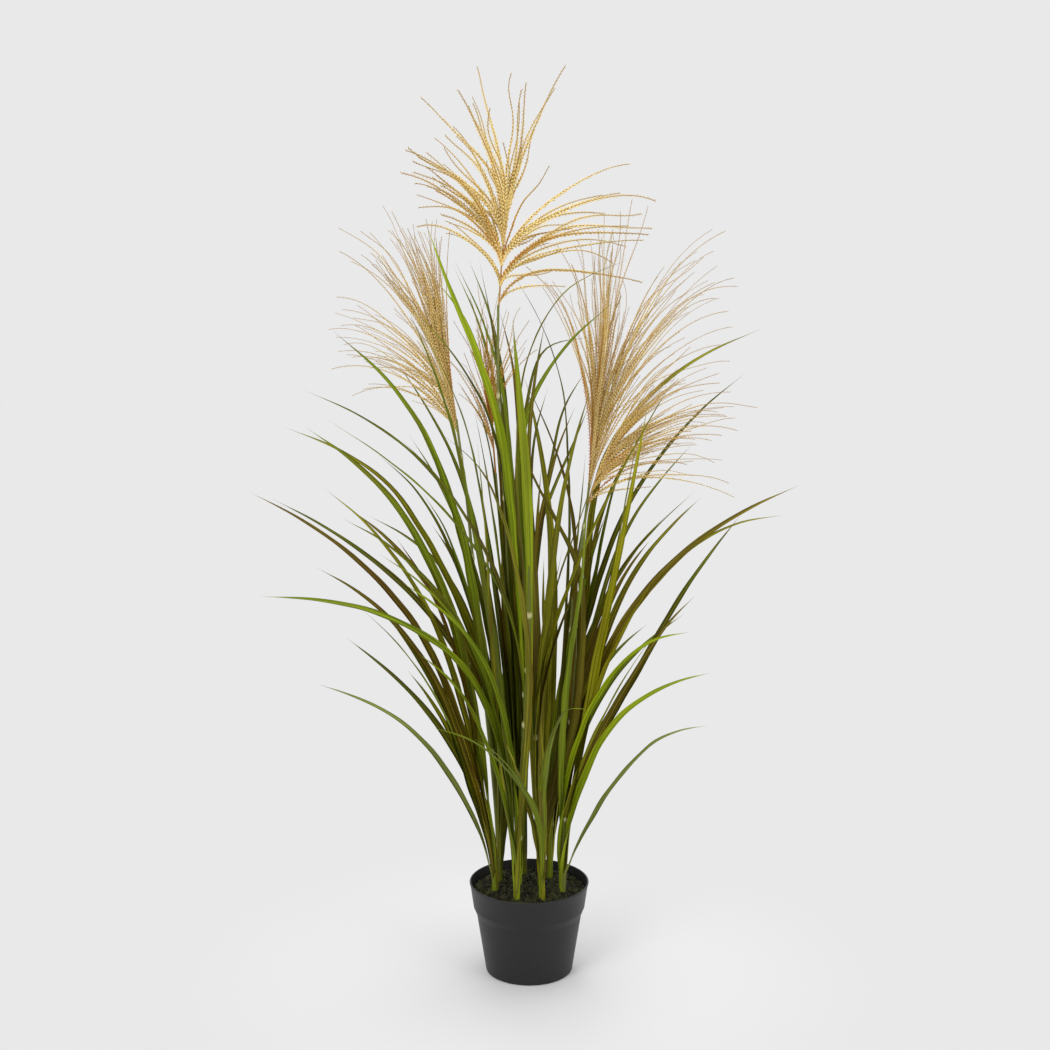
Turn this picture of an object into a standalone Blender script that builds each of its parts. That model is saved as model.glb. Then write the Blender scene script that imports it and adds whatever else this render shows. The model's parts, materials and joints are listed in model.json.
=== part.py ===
# Potted ornamental grass: nine shoots of arching leaves and five feathery plumes in a nursery pot.
# Metres, +Z up. The origin is under the middle of the pot, and -Y is the front.

import math

import bmesh
import bpy
import numpy as np
from mathutils import Matrix, Vector

MM = 0.001
CM = 0.01
UP = np.array((0.0, 0.0, 1.0))
FRONT = np.array((0.0, -1.0, 0.0))
GAP = 0.3 * MM                       # left between pieces that touch

# Pot
POT_HEIGHT = 126.5 * MM
RIM_RADIUS = 80.7 * MM               # outside, at the lip
BAND_HEIGHT = 34 * MM                # the plain band below the lip
BAND_FOOT_RADIUS = 75.5 * MM
SHOULDER_RADIUS = 71 * MM            # the wall under the slope that carries the band
SHOULDER_DROP = 11.5 * MM
HEEL_RADIUS = 59.3 * MM
HEEL_HEIGHT = 5 * MM
BASE_RADIUS = 57 * MM
POT_WALL = 2.2 * MM
POT_FLOOR = 3.5 * MM
POT_SIDES = 32
DRAIN_HOLES = 4
DRAIN_RADIUS = 4.5 * MM
DRAIN_RING = 38 * MM
DRAIN_SIDES = 12

# Soil
SOIL_DROP = 12 * MM                  # the soil's edge, below the lip
SOIL_MOUND = 3.5 * MM                # the middle stands this much higher
SOCKET_RADIUS = 8.5 * MM             # the hole that each shoot stands in
SOCKET_DEPTH = 24 * MM
SOCKET_SIDES = 12

# Leaves
SLOT_RING = 5.3 * MM                 # leaf feet stand on this circle round their shoot's middle
FOOT_WIDTH = 4.0 * MM
COLLAR_HEIGHT = 18 * MM              # leaves rise straight to here above the soil
GUTTER = 0.17                        # how far the margins stand above the middle, per width
LEAF_THICKNESS = 1.1 * MM            # at the midrib
LEAF_RINGS = 10
RING_STEP = 4                        # samples of a run between two rings

# Culms and plumes
CULM_FOOT_RADIUS = 2.3 * MM
CULM_TOP_RADIUS = 1.6 * MM
RACHIS_TIP_RADIUS = 0.8 * MM
RACEME_RADIUS = 1.2 * MM
RACEME_TIP_RADIUS = 0.55 * MM
STALK_SAMPLES = 241
CULM_SAMPLES = 29
RACHIS_SAMPLES = 13
RACEME_SAMPLES = 13
RACEME_STEP = 4
STALK_SIDES = 5

# How runs that pass too close are moved apart
LEAF_ROOM = 1.4 * MM                 # kept clear beyond half a leaf's width
STALK_ROOM = 2.7 * MM                # kept clear round the middle of a culm or rachis
RACEME_ROOM = 1.9 * MM
LEAF_FREE = (2 * MM, 45 * MM)        # heights above the soil where a leaf starts and ends coming free
SPREAD_ROUNDS = 260
PAIRS_KEPT = 8                       # rounds between two searches for neighbours
SPREAD_REACH = 14 * MM               # how far past touching a neighbour is still watched

# Shoots: where each comes out of the soil, (x, y) in cm
SHOOTS = {
    "left_front": (-4.6, -1.6),
    "front_left": (-1.7, -4.2),
    "front_right": (1.7, -4.0),
    "right": (4.5, -1.2),
    "left_back": (-4.0, 2.2),
    "back": (-0.8, 4.2),
    "right_back": (2.8, 3.6),
    "middle_left": (-1.4, 0.2),
    "middle_right": (1.6, 0.2),
}

# Leaves: shoot, tone, greatest width in mm, turn of the face towards the front in degrees,
# the places passed on the way, (x, z) in cm, and the tip, (x, y, z) in cm.
LEAVES = [
    ("left_front", "pale", 6.5, 50, [(-9, 25.5), (-17, 36.5)], (-27.5, -6, 42)),
    ("left_front", "dark", 8, 45, [(-9, 29), (-14.5, 37)], (-24.5, 4, 45.5)),
    ("left_front", "dark", 9, 40, [(-8.5, 28), (-12.5, 40)], (-18.5, -2, 50)),
    ("left_front", "brown", 10, 55, [(-8, 31.5), (-16, 51.5), (-24.5, 61)], (-35, -10, 68)),
    ("left_back", "dark", 9, 50, [(-3.8, 30), (-14, 49.5), (-24.5, 58.5)], (-34.5, 7, 64)),
    ("front_left", "bright", 14, 40, [(-3, 29), (-10, 47), (-18.5, 53)], (-33, -18, 56.5)),
    ("front_right", "bright", 11, 30, [(1.2, 22.5), (-2.5, 33), (-6.5, 39)], (-11.5, -28, 43)),
    ("left_front", "green", 13, 60, [(-7, 34), (-12, 55.5), (-18.5, 67)], (-28.5, -5, 75.5)),
    ("left_back", "olive", 11, 50, [(-5.5, 38.5), (-12, 57), (-19, 68)], (-31.5, -2, 75)),
    ("front_left", "green", 11, 50, [(-5.5, 39.5), (-10.5, 67.5), (-15, 78)], (-24.5, -8, 88)),
    ("left_back", "dark", 8, 40, [(-6.5, 51.5), (-11.5, 67.5), (-21, 76)], (-29, -3, 80)),
    ("left_back", "dark", 8, 30, [(-6.5, 42), (-12.5, 54)], (-22.5, 16, 60)),
    ("middle_left", "green", 15, 45, [(-4, 38.5), (-8, 66.5), (-10, 77)], (-15, -12, 91.5)),
    ("left_back", "dark", 7, 30, [(-5.5, 50.5), (-10, 68.5)], (-18.5, 13, 82.5)),
    ("left_back", "dark", 6, 25, [(-8, 54.5), (-13.5, 66)], (-17, 20, 71)),
    ("front_left", "green", 8, 35, [(-0.5, 38), (-3.5, 55), (-11, 67)], (-24, -20, 78.5)),
    ("middle_left", "dark", 9, 35, [(-2.5, 52), (-6, 78), (-9.5, 84)], (-15.5, -3, 91)),
    ("front_left", "green", 10, 25, [(-1, 55), (-4.5, 70), (-7.5, 75.5)], (-10.5, -26, 78)),
    ("middle_left", "bright", 13, 45, [(-2, 57.5), (-5, 79.5), (-9.5, 91.5)], (-13, -6, 101.5)),
    ("middle_left", "bright", 8, 30, [(-2.5, 62), (-6.5, 83), (-10.5, 92)], (-13.5, 4, 95)),
    ("back", "dark", 6, 20, [(-2, 61.5), (-5, 84.5)], (-10, 8, 96)),
    ("back", "dark", 10, 20, [(-2.5, 55.5), (-4, 79.5), (-5, 88)], (-6.5, 4, 96)),
    ("back", "dark", 6, 15, [(-2.5, 65.5), (-5.5, 88)], (-8.5, 20, 95.5)),
    ("front_left", "bright", 15, 10, [(0, 49), (-0.5, 72), (-1.5, 84.5)], (-2, -24, 91)),
    ("front_right", "green", 10, 15, [(1, 48.5), (0, 75), (1, 84.5)], (2, -12, 90)),
    ("middle_right", "olive", 9, 35, [(-0.5, 52.5), (-1, 79), (2, 90)], (13, -8, 97)),
    ("back", "dark", 8, 25, [(-0.5, 55.5), (0.5, 79), (4, 86)], (9, 10, 85.5)),
    ("middle_right", "green", 10, 40, [(0, 51.5), (0.5, 78), (4.5, 84.5)], (11.5, 3, 91)),
    ("middle_right", "dark", 8, 20, [(4.5, 46.5), (5, 68.5), (3.5, 83)], (-3, -3, 96)),
    ("middle_right", "brown", 13, 10, [(3, 44), (3, 58), (1.5, 70.5)], (-0.5, 10, 79.5)),
    ("middle_right", "brown", 11, 10, [(6.5, 42.5), (5.5, 59.5), (2, 66)], (-2, -9, 76)),
    ("back", "dark", 7, 15, [(0, 43.5), (2.5, 63.5), (5.5, 75.5)], (8.5, 24, 80)),
    ("back", "dark", 7, 15, [(-1.5, 43), (1.5, 58), (6, 68)], (9, 28, 74.5)),
    ("right_back", "olive", 11, 50, [(7.5, 51), (10.5, 71.5), (17, 80)], (30, 0, 87.5)),
    ("right_back", "dark", 8, 40, [(8, 48), (14, 64.5), (21.5, 74.5)], (29, 8, 81)),
    ("front_right", "olive", 9, 45, [(1.5, 42.5), (6, 58), (13.5, 75)], (18, -14, 83.5)),
    ("right_back", "dark", 7, 25, [(8.5, 44), (13.5, 58.5)], (23, 18, 70)),
    ("middle_right", "dark", 7, 30, [(7, 44.5), (12.5, 56.5)], (21.5, -1, 66.5)),
    ("right", "yellow", 11, 35, [(8, 38.5), (11.5, 58), (13.5, 70)], (15, -6, 79)),
    ("right_back", "green", 9, 30, [(6, 40.5), (9, 55), (11.5, 67)], (14.5, 4, 74)),
    ("right", "dark", 13, 55, [(8, 38.5), (14.5, 52.5), (22.5, 61)], (34.5, -5, 68)),
    ("right_back", "olive", 8, 45, [(8, 38.5), (15, 50.5), (25.5, 60)], (34.5, 6, 62)),
    ("right", "dark", 10, 45, [(8, 30), (14.5, 42), (21, 53.5)], (28, 2, 63)),
    ("right", "olive", 12, 50, [(5.5, 29.5), (10, 42), (15, 48)], (20.5, -10, 50)),
    ("right_back", "green", 8, 40, [(6.5, 29.5), (13, 39.5)], (22, 16, 46)),
    ("right", "green", 10, 50, [(7, 27), (12, 37), (17, 41)], (23.5, -6, 43.5)),
    ("right", "pale", 6.5, 45, [(8, 21.5), (12.5, 29.5), (17.5, 35)], (23, -8, 37)),
    ("front_right", "green", 11, 20, [(2, 31), (3.5, 40.5), (5, 43.5)], (7.5, -24, 44)),
]

# Plumes: the shoot, where the culm passes (x, z), the plume's foot (x, y, z), the places that its
# rachis passes (x, z), how deep the plume spreads, and the tips of its racemes (x, z). All in cm.
PLUMES = {
    "top": dict(
        shoot="middle_left", culm=(-3, 60), foot=(-4, 2, 90), rachis=[(-3.5, 96), (-2.5, 106)], depth=7,
        tips=[(4.5, 120), (13, 108), (15.5, 103.5), (16, 99.5), (15, 99), (14, 93), (11, 95.5),
              (-15.5, 109.5), (-16.5, 107), (-14, 116), (-9, 117), (-7, 120.5), (-2, 119), (-0.5, 117),
              (-10.5, 112), (-14, 100.5), (-11, 99), (-14.5, 105.5), (-15, 110), (-12, 111),
              (2.5, 107.5), (1, 112)],
    ),
    "left": dict(
        shoot="left_back", culm=(-6.5, 45), foot=(-9.5, 3, 75), rachis=[(-10.5, 81.5), (-13, 92)], depth=5,
        tips=[(-19.5, 102.5), (-17.5, 102), (-21, 100), (-24.5, 100), (-24, 97), (-23, 95.5), (-25, 91),
              (-25.5, 87.5), (-25.5, 85.5), (-25.5, 82.5), (-23, 78.5), (-15.5, 100), (-14, 99.5),
              (-13.5, 101), (-12, 101), (-10, 100)],
    ),
    "back_left": dict(
        shoot="back", culm=(-2.2, 40), foot=(-4.5, 10, 66.5), rachis=[(-5, 74), (-6, 83)], depth=5,
        tips=[(-10.5, 81.5), (-9.5, 88), (-6.5, 92), (-1, 89), (0, 88), (-9.5, 77), (-12, 84), (-4, 91.5),
              (-8, 90), (1, 84)],
    ),
    "right_front": dict(
        shoot="right", culm=(5.8, 40), foot=(7.5, -3, 65), rachis=[(8.9, 69.5), (11, 74)], depth=5,
        tips=[(22.5, 82.5), (23.5, 82.5), (24.5, 80.5), (28.5, 78.5), (24, 77), (25.5, 76), (26, 75.5),
              (21, 74), (23, 73.5), (26, 66.5), (20.5, 69.5), (17, 83.5), (20.5, 85), (19, 79.5),
              (15.5, 78.5)],
    ),
    "right_back": dict(
        shoot="right_back", culm=(5, 42), foot=(8.5, 9, 69.5), depth=6,
        rachis=[(9, 77), (10, 84), (12, 90.5)],
        tips=[(25.5, 99), (24, 99.5), (24.5, 96.5), (26.5, 93.5), (28, 92), (24.5, 90.5), (26, 88.5),
              (27.5, 86), (26, 82.5), (4, 97.5), (6, 98), (5.5, 95), (2, 92), (0, 95), (9, 99.5),
              (10, 101.5), (11.5, 102), (14, 103), (15.5, 102.5)],
    ),
}

TONES = {
    "bright": (0.22, 0.33, 0.03),
    "green": (0.10, 0.20, 0.03),
    "olive": (0.13, 0.16, 0.03),
    "dark": (0.05, 0.08, 0.02),
    "brown": (0.10, 0.07, 0.03),
    "pale": (0.24, 0.30, 0.14),
    "yellow": (0.30, 0.30, 0.04),
}

BAND_FOOT = POT_HEIGHT - BAND_HEIGHT
SHOULDER = BAND_FOOT - SHOULDER_DROP
SOIL_TOP = POT_HEIGHT - SOIL_DROP
SOCKET_FLOOR = SOIL_TOP - SOCKET_DEPTH
LEAF_SAMPLES = RING_STEP * LEAF_RINGS + 1


# --- Curves -------------------------------------------------------------------------------

def smooth(low, high, value):
    """0 before low, 1 past high, and a smooth step between them. low may be the greater of the two."""
    t = np.clip((value - low) / (high - low), 0, 1)
    return t * t * (3 - 2 * t)


def run_through(points, samples):
    """A curve through the points, read at evenly spaced places. It starts along the first chord."""
    points = np.array(points, dtype=float)
    chords = np.diff(points, axis=0)
    knots = np.concatenate(([0], np.cumsum(np.linalg.norm(chords, axis=1))))
    slopes = np.gradient(points, knots, axis=0)
    if len(points) > 2:
        slopes[-1] = 1.6 * slopes[-1] - 0.6 * slopes[-2]
    fine = np.linspace(0, knots[-1], 40 * len(points))
    left = np.clip(np.searchsorted(knots, fine, side="right") - 1, 0, len(points) - 2)
    span = (knots[left + 1] - knots[left])[:, None]
    t = (fine[:, None] - knots[left][:, None]) / span
    curve = (
        (2 * t**3 - 3 * t**2 + 1) * points[left] + (t**3 - 2 * t**2 + t) * span * slopes[left]
        + (3 * t**2 - 2 * t**3) * points[left + 1] + (t**3 - t**2) * span * slopes[left + 1]
    )
    return evenly(curve, samples)


def evenly(curve, samples):
    """The same curve read at evenly spaced places."""
    along = np.concatenate(([0], np.cumsum(np.linalg.norm(np.diff(curve, axis=0), axis=1))))
    wanted = np.linspace(0, along[-1], samples)
    return np.stack([np.interp(wanted, along, curve[:, axis]) for axis in range(3)], axis=1)


def tangents(run):
    steps = np.gradient(run, axis=0)
    return steps / np.linalg.norm(steps, axis=1)[:, None]


def flat_heading(vector):
    return math.atan2(vector[1], vector[0])


# --- Layout of the shoots -----------------------------------------------------------------

def shoot_place(name):
    x, y = SHOOTS[name]
    return np.array((x * CM, y * CM, SOCKET_FLOOR + GAP))


def fill_depth(foot, ways, tip):
    """The places passed on the way, with their depth: most of it comes near the tip."""
    flat = [(foot[0], foot[2])] + [(x * CM, z * CM) for x, z in ways] + [(tip[0], tip[2])]
    along = np.concatenate(([0], np.cumsum([math.dist(a, b) for a, b in zip(flat, flat[1:])])))
    share = (along / along[-1]) ** 1.5
    depth = foot[1] + (tip[1] - foot[1]) * share
    return [np.array((x, y, z)) for (x, z), y in zip(flat, depth)][1:]


def leaf_slots():
    """The heading of each leaf's slot round its shoot: evenly spaced, in the order the leaves leave."""
    headings = {}
    for shoot in SHOOTS:
        middle = shoot_place(shoot)
        own = []
        for index, (home, _, _, _, ways, tip) in enumerate(LEAVES):
            if home == shoot:
                passed = fill_depth(middle, ways, np.array(tip) * CM)[0]
                own.append((flat_heading(passed - middle), index))
        own.sort()
        step = 2 * math.pi / len(own)
        turns = [heading - place * step for place, (heading, _) in enumerate(own)]
        start = math.atan2(sum(map(math.sin, turns)), sum(map(math.cos, turns)))
        for place, (_, index) in enumerate(own):
            headings[index] = start + place * step
    return headings


def leaf_run(index, slot):
    shoot, _, _, _, ways, tip = LEAVES[index]
    foot = shoot_place(shoot) + SLOT_RING * np.array((math.cos(slot), math.sin(slot), 0))
    collar = np.array((foot[0], foot[1], SOIL_TOP + COLLAR_HEIGHT))
    return run_through([foot, collar] + fill_depth(collar, ways, np.array(tip) * CM), LEAF_SAMPLES)


def leaf_widths(widest, share):
    """The width along a leaf: narrow where it leaves the shoot, widest past a third, then a long taper."""
    grown = FOOT_WIDTH + (widest * MM - FOOT_WIDTH) * smooth(0.08, 0.38, share)
    return grown * np.clip((1 - share) / 0.52, 0, 1) ** 0.75


def stalk_runs(plan):
    """The culm's run and the rachis's run above it, which follow one curve and end face to face."""
    foot = shoot_place(plan["shoot"])
    base = np.array(plan["foot"]) * CM
    collar = np.array((foot[0], foot[1], SOIL_TOP + COLLAR_HEIGHT))
    culm = [collar] + fill_depth(collar, [plan["culm"]], base)
    rachis = [np.array((x * CM, base[1], z * CM)) for x, z in plan["rachis"]]
    whole = run_through([foot] + culm + rachis, STALK_SAMPLES)
    split = int(np.argmin(np.linalg.norm(whole - base, axis=1)))
    below, above = evenly(whole[:split + 1], CULM_SAMPLES), evenly(whole[split:], RACHIS_SAMPLES)
    above[0] += tangents(above)[0] * GAP
    return below, above


def raceme_run(rachis, tip, turn, depth):
    """One side branch: it leaves the rachis steeply, rises and bends over towards its tip."""
    climb = (tip[1] * CM - rachis[0, 2]) / (rachis[-1, 2] - rachis[0, 2])
    start_share = min(max(0.05 + 0.42 * climb + 0.03 * math.sin(3 * turn), 0.04), 0.96)
    place = start_share * (len(rachis) - 1)
    low = int(place)
    start = rachis[low] + (rachis[low + 1] - rachis[low]) * (place - low)
    end = np.array((tip[0] * CM, start[1] + depth * CM * math.sin(turn), tip[1] * CM))
    reach = end - start
    across = math.hypot(reach[0], reach[1])
    arch = max(0.45 * across - 0.25 * max(reach[2], 0), 0)
    bend = start + np.array((0.36, 0.36, 0.62)) * reach + arch * UP
    t = np.linspace(0, 1, 60)[:, None]
    return evenly((1 - t)**2 * start + 2 * t * (1 - t) * bend + t**2 * end, RACEME_SAMPLES)


# --- Room between neighbours ----------------------------------------------------------------

def make_room(runs, rooms, pieces, homes, holds):
    """Runs that pass too close move apart, front to back only, so the front view keeps its lines.

    rooms is half the room that each sample needs, pieces says which runs are one piece, homes is the
    shoot that a run stands in, and holds is 0 where a run can't move and 1 where it is free."""
    sizes = [len(run) for run in runs]
    ends = np.cumsum(sizes)
    starts = ends - sizes
    where, room, hold = np.vstack(runs), np.concatenate(rooms), np.concatenate(holds)
    piece, run_of = np.repeat(pieces, sizes), np.repeat(np.arange(len(runs)), sizes)
    reach = 2 * room.max() + SPREAD_REACH
    sides = {}
    for step in range(SPREAD_ROUNDS):
        if step % PAIRS_KEPT == 0:
            first, second = close_pairs(where, piece, reach)
            couples = list(zip(run_of[first], run_of[second]))
            choose_sides(sides, couples, where[second, 1] - where[first, 1], runs, homes)
            side = np.array([sides[couple] for couple in couples])
        flat = where[first][:, [0, 2]] - where[second][:, [0, 2]]
        spare = (room[first] + room[second])**2 - (flat**2).sum(axis=1)
        short = np.sqrt(np.clip(spare, 0, None)) - side * (where[second, 1] - where[first, 1])
        short = np.where(spare > 0, np.clip(short, 0, None), 0) / 2
        behind, before = np.zeros(len(where)), np.zeros(len(where))
        np.maximum.at(behind, np.where(side > 0, second, first), short)
        np.maximum.at(before, np.where(side > 0, first, second), short)
        moved = (behind - before) * hold
        for start, end in zip(starts, ends):
            own = moved[start:end]
            spread = np.convolve(np.pad(own, 3, mode="edge"), (1, 2, 3, 4, 3, 2, 1), mode="valid") / 16
            own = np.where(np.abs(spread) > np.abs(own), spread, (spread + own) / 2)
            where[start:end, 1] += 0.7 * own * hold[start:end]
    return [where[start:end] for start, end in zip(starts, ends)]


def choose_sides(sides, couples, gaps, runs, homes):
    """Adds 1 to sides where the second run of a couple passes behind the first, or -1 where before it.

    In one shoot the feet say which, and elsewhere where the two lie when they first come close."""
    fresh = {}
    for couple, gap in zip(couples, gaps):
        if couple not in sides:
            fresh[couple] = fresh.get(couple, 0) + gap
    for (a, b), total in fresh.items():
        if homes[a] is not None and homes[a] == homes[b]:
            feet = runs[b][0, 1] - runs[a][0, 1]
            total = feet if abs(feet) > SLOT_RING / 2 else total
        sides[a, b] = 1 if total >= 0 else -1


def close_pairs(where, piece, reach):
    """Pairs of samples of different pieces that are nearer than reach."""
    cells = {}
    for index, key in enumerate(map(tuple, np.floor(where / reach).astype(int))):
        cells.setdefault(key, []).append(index)
    first, second = [], []
    around = [(i, j, k) for i in (-1, 0, 1) for j in (-1, 0, 1) for k in (-1, 0, 1)]
    for key, own in cells.items():
        near = [n for step in around for n in cells.get(tuple(map(sum, zip(key, step))), [])]
        own, near = np.array(own), np.array(near)
        gaps = np.linalg.norm(where[own][:, None] - where[near][None], axis=2)
        rows, columns = np.nonzero(gaps < reach)
        keep = (own[rows] < near[columns]) & (piece[own[rows]] != piece[near[columns]])
        first.append(own[rows][keep])
        second.append(near[columns][keep])
    return np.concatenate(first), np.concatenate(second)


# --- Meshes ---------------------------------------------------------------------------------

def plain_material(name, colour, roughness):
    material = bpy.data.materials.new(name)
    material.use_nodes = True
    shader = material.node_tree.nodes["Principled BSDF"]
    shader.inputs["Base Color"].default_value = (*colour, 1)
    shader.inputs["Roughness"].default_value = roughness
    shader.inputs["Metallic"].default_value = 0
    return material


def add_object(name, mesh, material):
    mesh.shade_smooth()
    mesh.set_sharp_from_angle(angle=math.radians(35))
    mesh.materials.clear()
    mesh.materials.append(material)
    made = bpy.data.objects.new(name, mesh)
    bpy.context.collection.objects.link(made)
    return made


def mesh_from(bm, name):
    bmesh.ops.recalc_face_normals(bm, faces=bm.faces)
    mesh = bpy.data.meshes.new(name)
    bm.to_mesh(mesh)
    bm.free()
    return mesh


def turned(name, outline, sides):
    """A closed body turned from an outline of (radius, z) that starts and ends on the axis."""
    bm = bmesh.new()
    rows = []
    for radius, z in outline:
        if radius == 0:
            rows.append([bm.verts.new((0, 0, z))])
            continue
        angles = [2 * math.pi * side / sides for side in range(sides)]
        rows.append([bm.verts.new((radius * math.cos(a), radius * math.sin(a), z)) for a in angles])
    for low, high in zip(rows, rows[1:]):
        for side in range(sides):
            after = (side + 1) % sides
            if len(low) == 1:
                bm.faces.new((low[0], high[side], high[after]))
            elif len(high) == 1:
                bm.faces.new((low[side], low[after], high[0]))
            else:
                bm.faces.new((low[side], low[after], high[after], high[side]))
    return mesh_from(bm, name)


def rod_mesh(name, run, radii, sides, pointed):
    """A slender rod round a run, with a flat foot and either a point or a flat top."""
    headings = tangents(run)
    across = np.cross(headings[0], FRONT)
    bm = bmesh.new()
    rows = []
    for centre, heading, radius in zip(run, headings, radii):
        across = across - heading * np.dot(across, heading)
        across /= np.linalg.norm(across)
        other = np.cross(heading, across)
        angles = [2 * math.pi * side / sides for side in range(sides)]
        rows.append([centre + radius * (math.cos(a) * across + math.sin(a) * other) for a in angles])
    if pointed:
        rows[-1] = [run[-1]]
    rows = [[bm.verts.new(point) for point in row] for row in rows]
    for low, high in zip(rows, rows[1:]):
        for side in range(sides):
            after = (side + 1) % sides
            if len(high) == 1:
                bm.faces.new((low[side], low[after], high[0]))
            else:
                bm.faces.new((low[side], low[after], high[after], high[side]))
    bm.faces.new(rows[0])
    if not pointed:
        bm.faces.new(rows[-1])
    return mesh_from(bm, name)


def leaf_mesh(name, run, widest, slot, turn):
    """A pointed blade with a gutter along its middle, sharp margins and a keel under the midrib."""
    share = np.linspace(0, 1, LEAF_SAMPLES)
    widths = leaf_widths(widest, share)
    headings = tangents(run)
    leaving = flat_heading(run[-1] - run[0])
    swing = (leaving - slot + math.pi) % (2 * math.pi) - math.pi
    side = 1 if math.cos(leaving) <= 0 else -1
    bm = bmesh.new()
    rows = []
    for index in range(0, LEAF_SAMPLES - 1, RING_STEP):
        along = headings[index]
        facing = slot + swing * smooth(0.03, 0.3, share[index])
        across = np.array((-math.sin(facing), math.cos(facing), 0))
        across = across - along * np.dot(across, along)
        across /= np.linalg.norm(across)
        face = np.cross(along, across)
        angle = side * math.radians(turn) * smooth(0.05, 0.4, share[index])
        across, face = (
            math.cos(angle) * across - math.sin(angle) * face,
            math.sin(angle) * across + math.cos(angle) * face,
        )
        half, centre = 0.5 * widths[index], run[index]
        raised = GUTTER * widths[index] * face
        thick = 0.5 * LEAF_THICKNESS * min(1, 0.35 + half / (5 * MM))
        row = [
            centre - half * across + raised, centre + thick * face,
            centre + half * across + raised, centre - thick * face,
        ]
        rows.append([bm.verts.new(point) for point in row])
    for low, high in zip(rows, rows[1:]):
        for margin in (0, 2):
            for middle in (1, 3):
                bm.faces.new((low[margin], low[middle], high[margin]))
                bm.faces.new((low[middle], high[middle], high[margin]))
    point = bm.verts.new(run[-1])
    for corner in range(4):
        bm.faces.new((rows[-1][corner], rows[-1][(corner + 1) % 4], point))
    bm.faces.new((rows[0][0], rows[0][1], rows[0][3]))
    bm.faces.new((rows[0][1], rows[0][2], rows[0][3]))
    return mesh_from(bm, name)


def hidden_tool(name, mesh):
    tool = bpy.data.objects.new(name, mesh)
    tool.hide_render = True
    tool.display_type = "WIRE"
    return tool


def largest_shell(mesh):
    """The mesh without the small pockets that are closed in where rods cross."""
    bm = bmesh.new()
    bm.from_mesh(mesh)
    shells, left = [], set(bm.verts)
    while left:
        shell, edge = set(), [left.pop()]
        while edge:
            vertex = edge.pop()
            shell.add(vertex)
            near = {link.other_vert(vertex) for link in vertex.link_edges} & left
            left -= near
            edge.extend(near)
        shells.append(shell)
    shells.sort(key=len)
    bmesh.ops.delete(bm, geom=[vertex for shell in shells[:-1] for vertex in shell], context="VERTS")
    bm.to_mesh(mesh)
    bm.free()
    return mesh


def combined(base_mesh, tools, operation):
    """The base mesh with all the tool meshes joined to it or cut from it."""
    group = bpy.data.collections.new("tools")
    bpy.context.scene.collection.children.link(group)
    for mesh in tools:
        group.objects.link(hidden_tool("tool", mesh))
    base = hidden_tool("base", base_mesh)
    bpy.context.collection.objects.link(base)
    modifier = base.modifiers.new("combine", "BOOLEAN")
    modifier.operation = operation
    modifier.solver = "EXACT"
    modifier.operand_type = "COLLECTION"
    modifier.collection = group
    evaluated = base.evaluated_get(bpy.context.evaluated_depsgraph_get())
    result = largest_shell(bpy.data.meshes.new_from_object(evaluated))
    for tool in [base, *group.objects]:
        bpy.data.objects.remove(tool)
    bpy.data.collections.remove(group)
    return result


# --- Pieces ---------------------------------------------------------------------------------

def pot_outside():
    """The outline from under the middle of the pot up to the top of its lip."""
    return [
        (0, 0),
        (BASE_RADIUS, 0),
        (BASE_RADIUS + 1.6 * MM, 1.4 * MM),
        (HEEL_RADIUS, HEEL_HEIGHT),
        (SHOULDER_RADIUS, SHOULDER),
        (SHOULDER_RADIUS + 1.2 * MM, SHOULDER + 2.2 * MM),
        (BAND_FOOT_RADIUS - 0.6 * MM, BAND_FOOT - 1.6 * MM),
        (BAND_FOOT_RADIUS, BAND_FOOT),
        (RIM_RADIUS - 0.2 * MM, POT_HEIGHT - 1.2 * MM),
        (RIM_RADIUS - 0.7 * MM, POT_HEIGHT),
    ]


def pot_inside():
    """The cavity's outline from the lip down to the floor."""
    return [
        (RIM_RADIUS - POT_WALL + 0.2 * MM, POT_HEIGHT),
        (RIM_RADIUS - POT_WALL - 0.4 * MM, POT_HEIGHT - 1.2 * MM),
        (BAND_FOOT_RADIUS - POT_WALL, BAND_FOOT + 0.6 * MM),
        (SHOULDER_RADIUS - POT_WALL, SHOULDER + 0.8 * MM),
        (HEEL_RADIUS - POT_WALL, HEEL_HEIGHT + 1.5 * MM),
        (HEEL_RADIUS - POT_WALL - 2 * MM, POT_FLOOR),
    ]


def make_pot():
    shell = turned("pot", pot_outside() + pot_inside() + [(0, POT_FLOOR)], POT_SIDES)
    drains = []
    for hole in range(DRAIN_HOLES):
        angle = 2 * math.pi * hole / DRAIN_HOLES
        place = Vector((DRAIN_RING * math.cos(angle), DRAIN_RING * math.sin(angle), POT_FLOOR / 2))
        bm = bmesh.new()
        bmesh.ops.create_cone(
            bm, cap_ends=True, segments=DRAIN_SIDES, radius1=DRAIN_RADIUS, radius2=DRAIN_RADIUS,
            depth=3 * POT_FLOOR, matrix=Matrix.Translation(place),
        )
        drains.append(mesh_from(bm, "drain"))
    body = combined(shell, drains, "DIFFERENCE")
    return add_object("pot", body, plain_material("pot_plastic", (0.04, 0.04, 0.04), 0.45))


def inside_radius(z):
    outline = sorted((z, radius) for radius, z in pot_inside())
    return float(np.interp(z, [z for z, _ in outline], [radius for _, radius in outline]))


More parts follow.
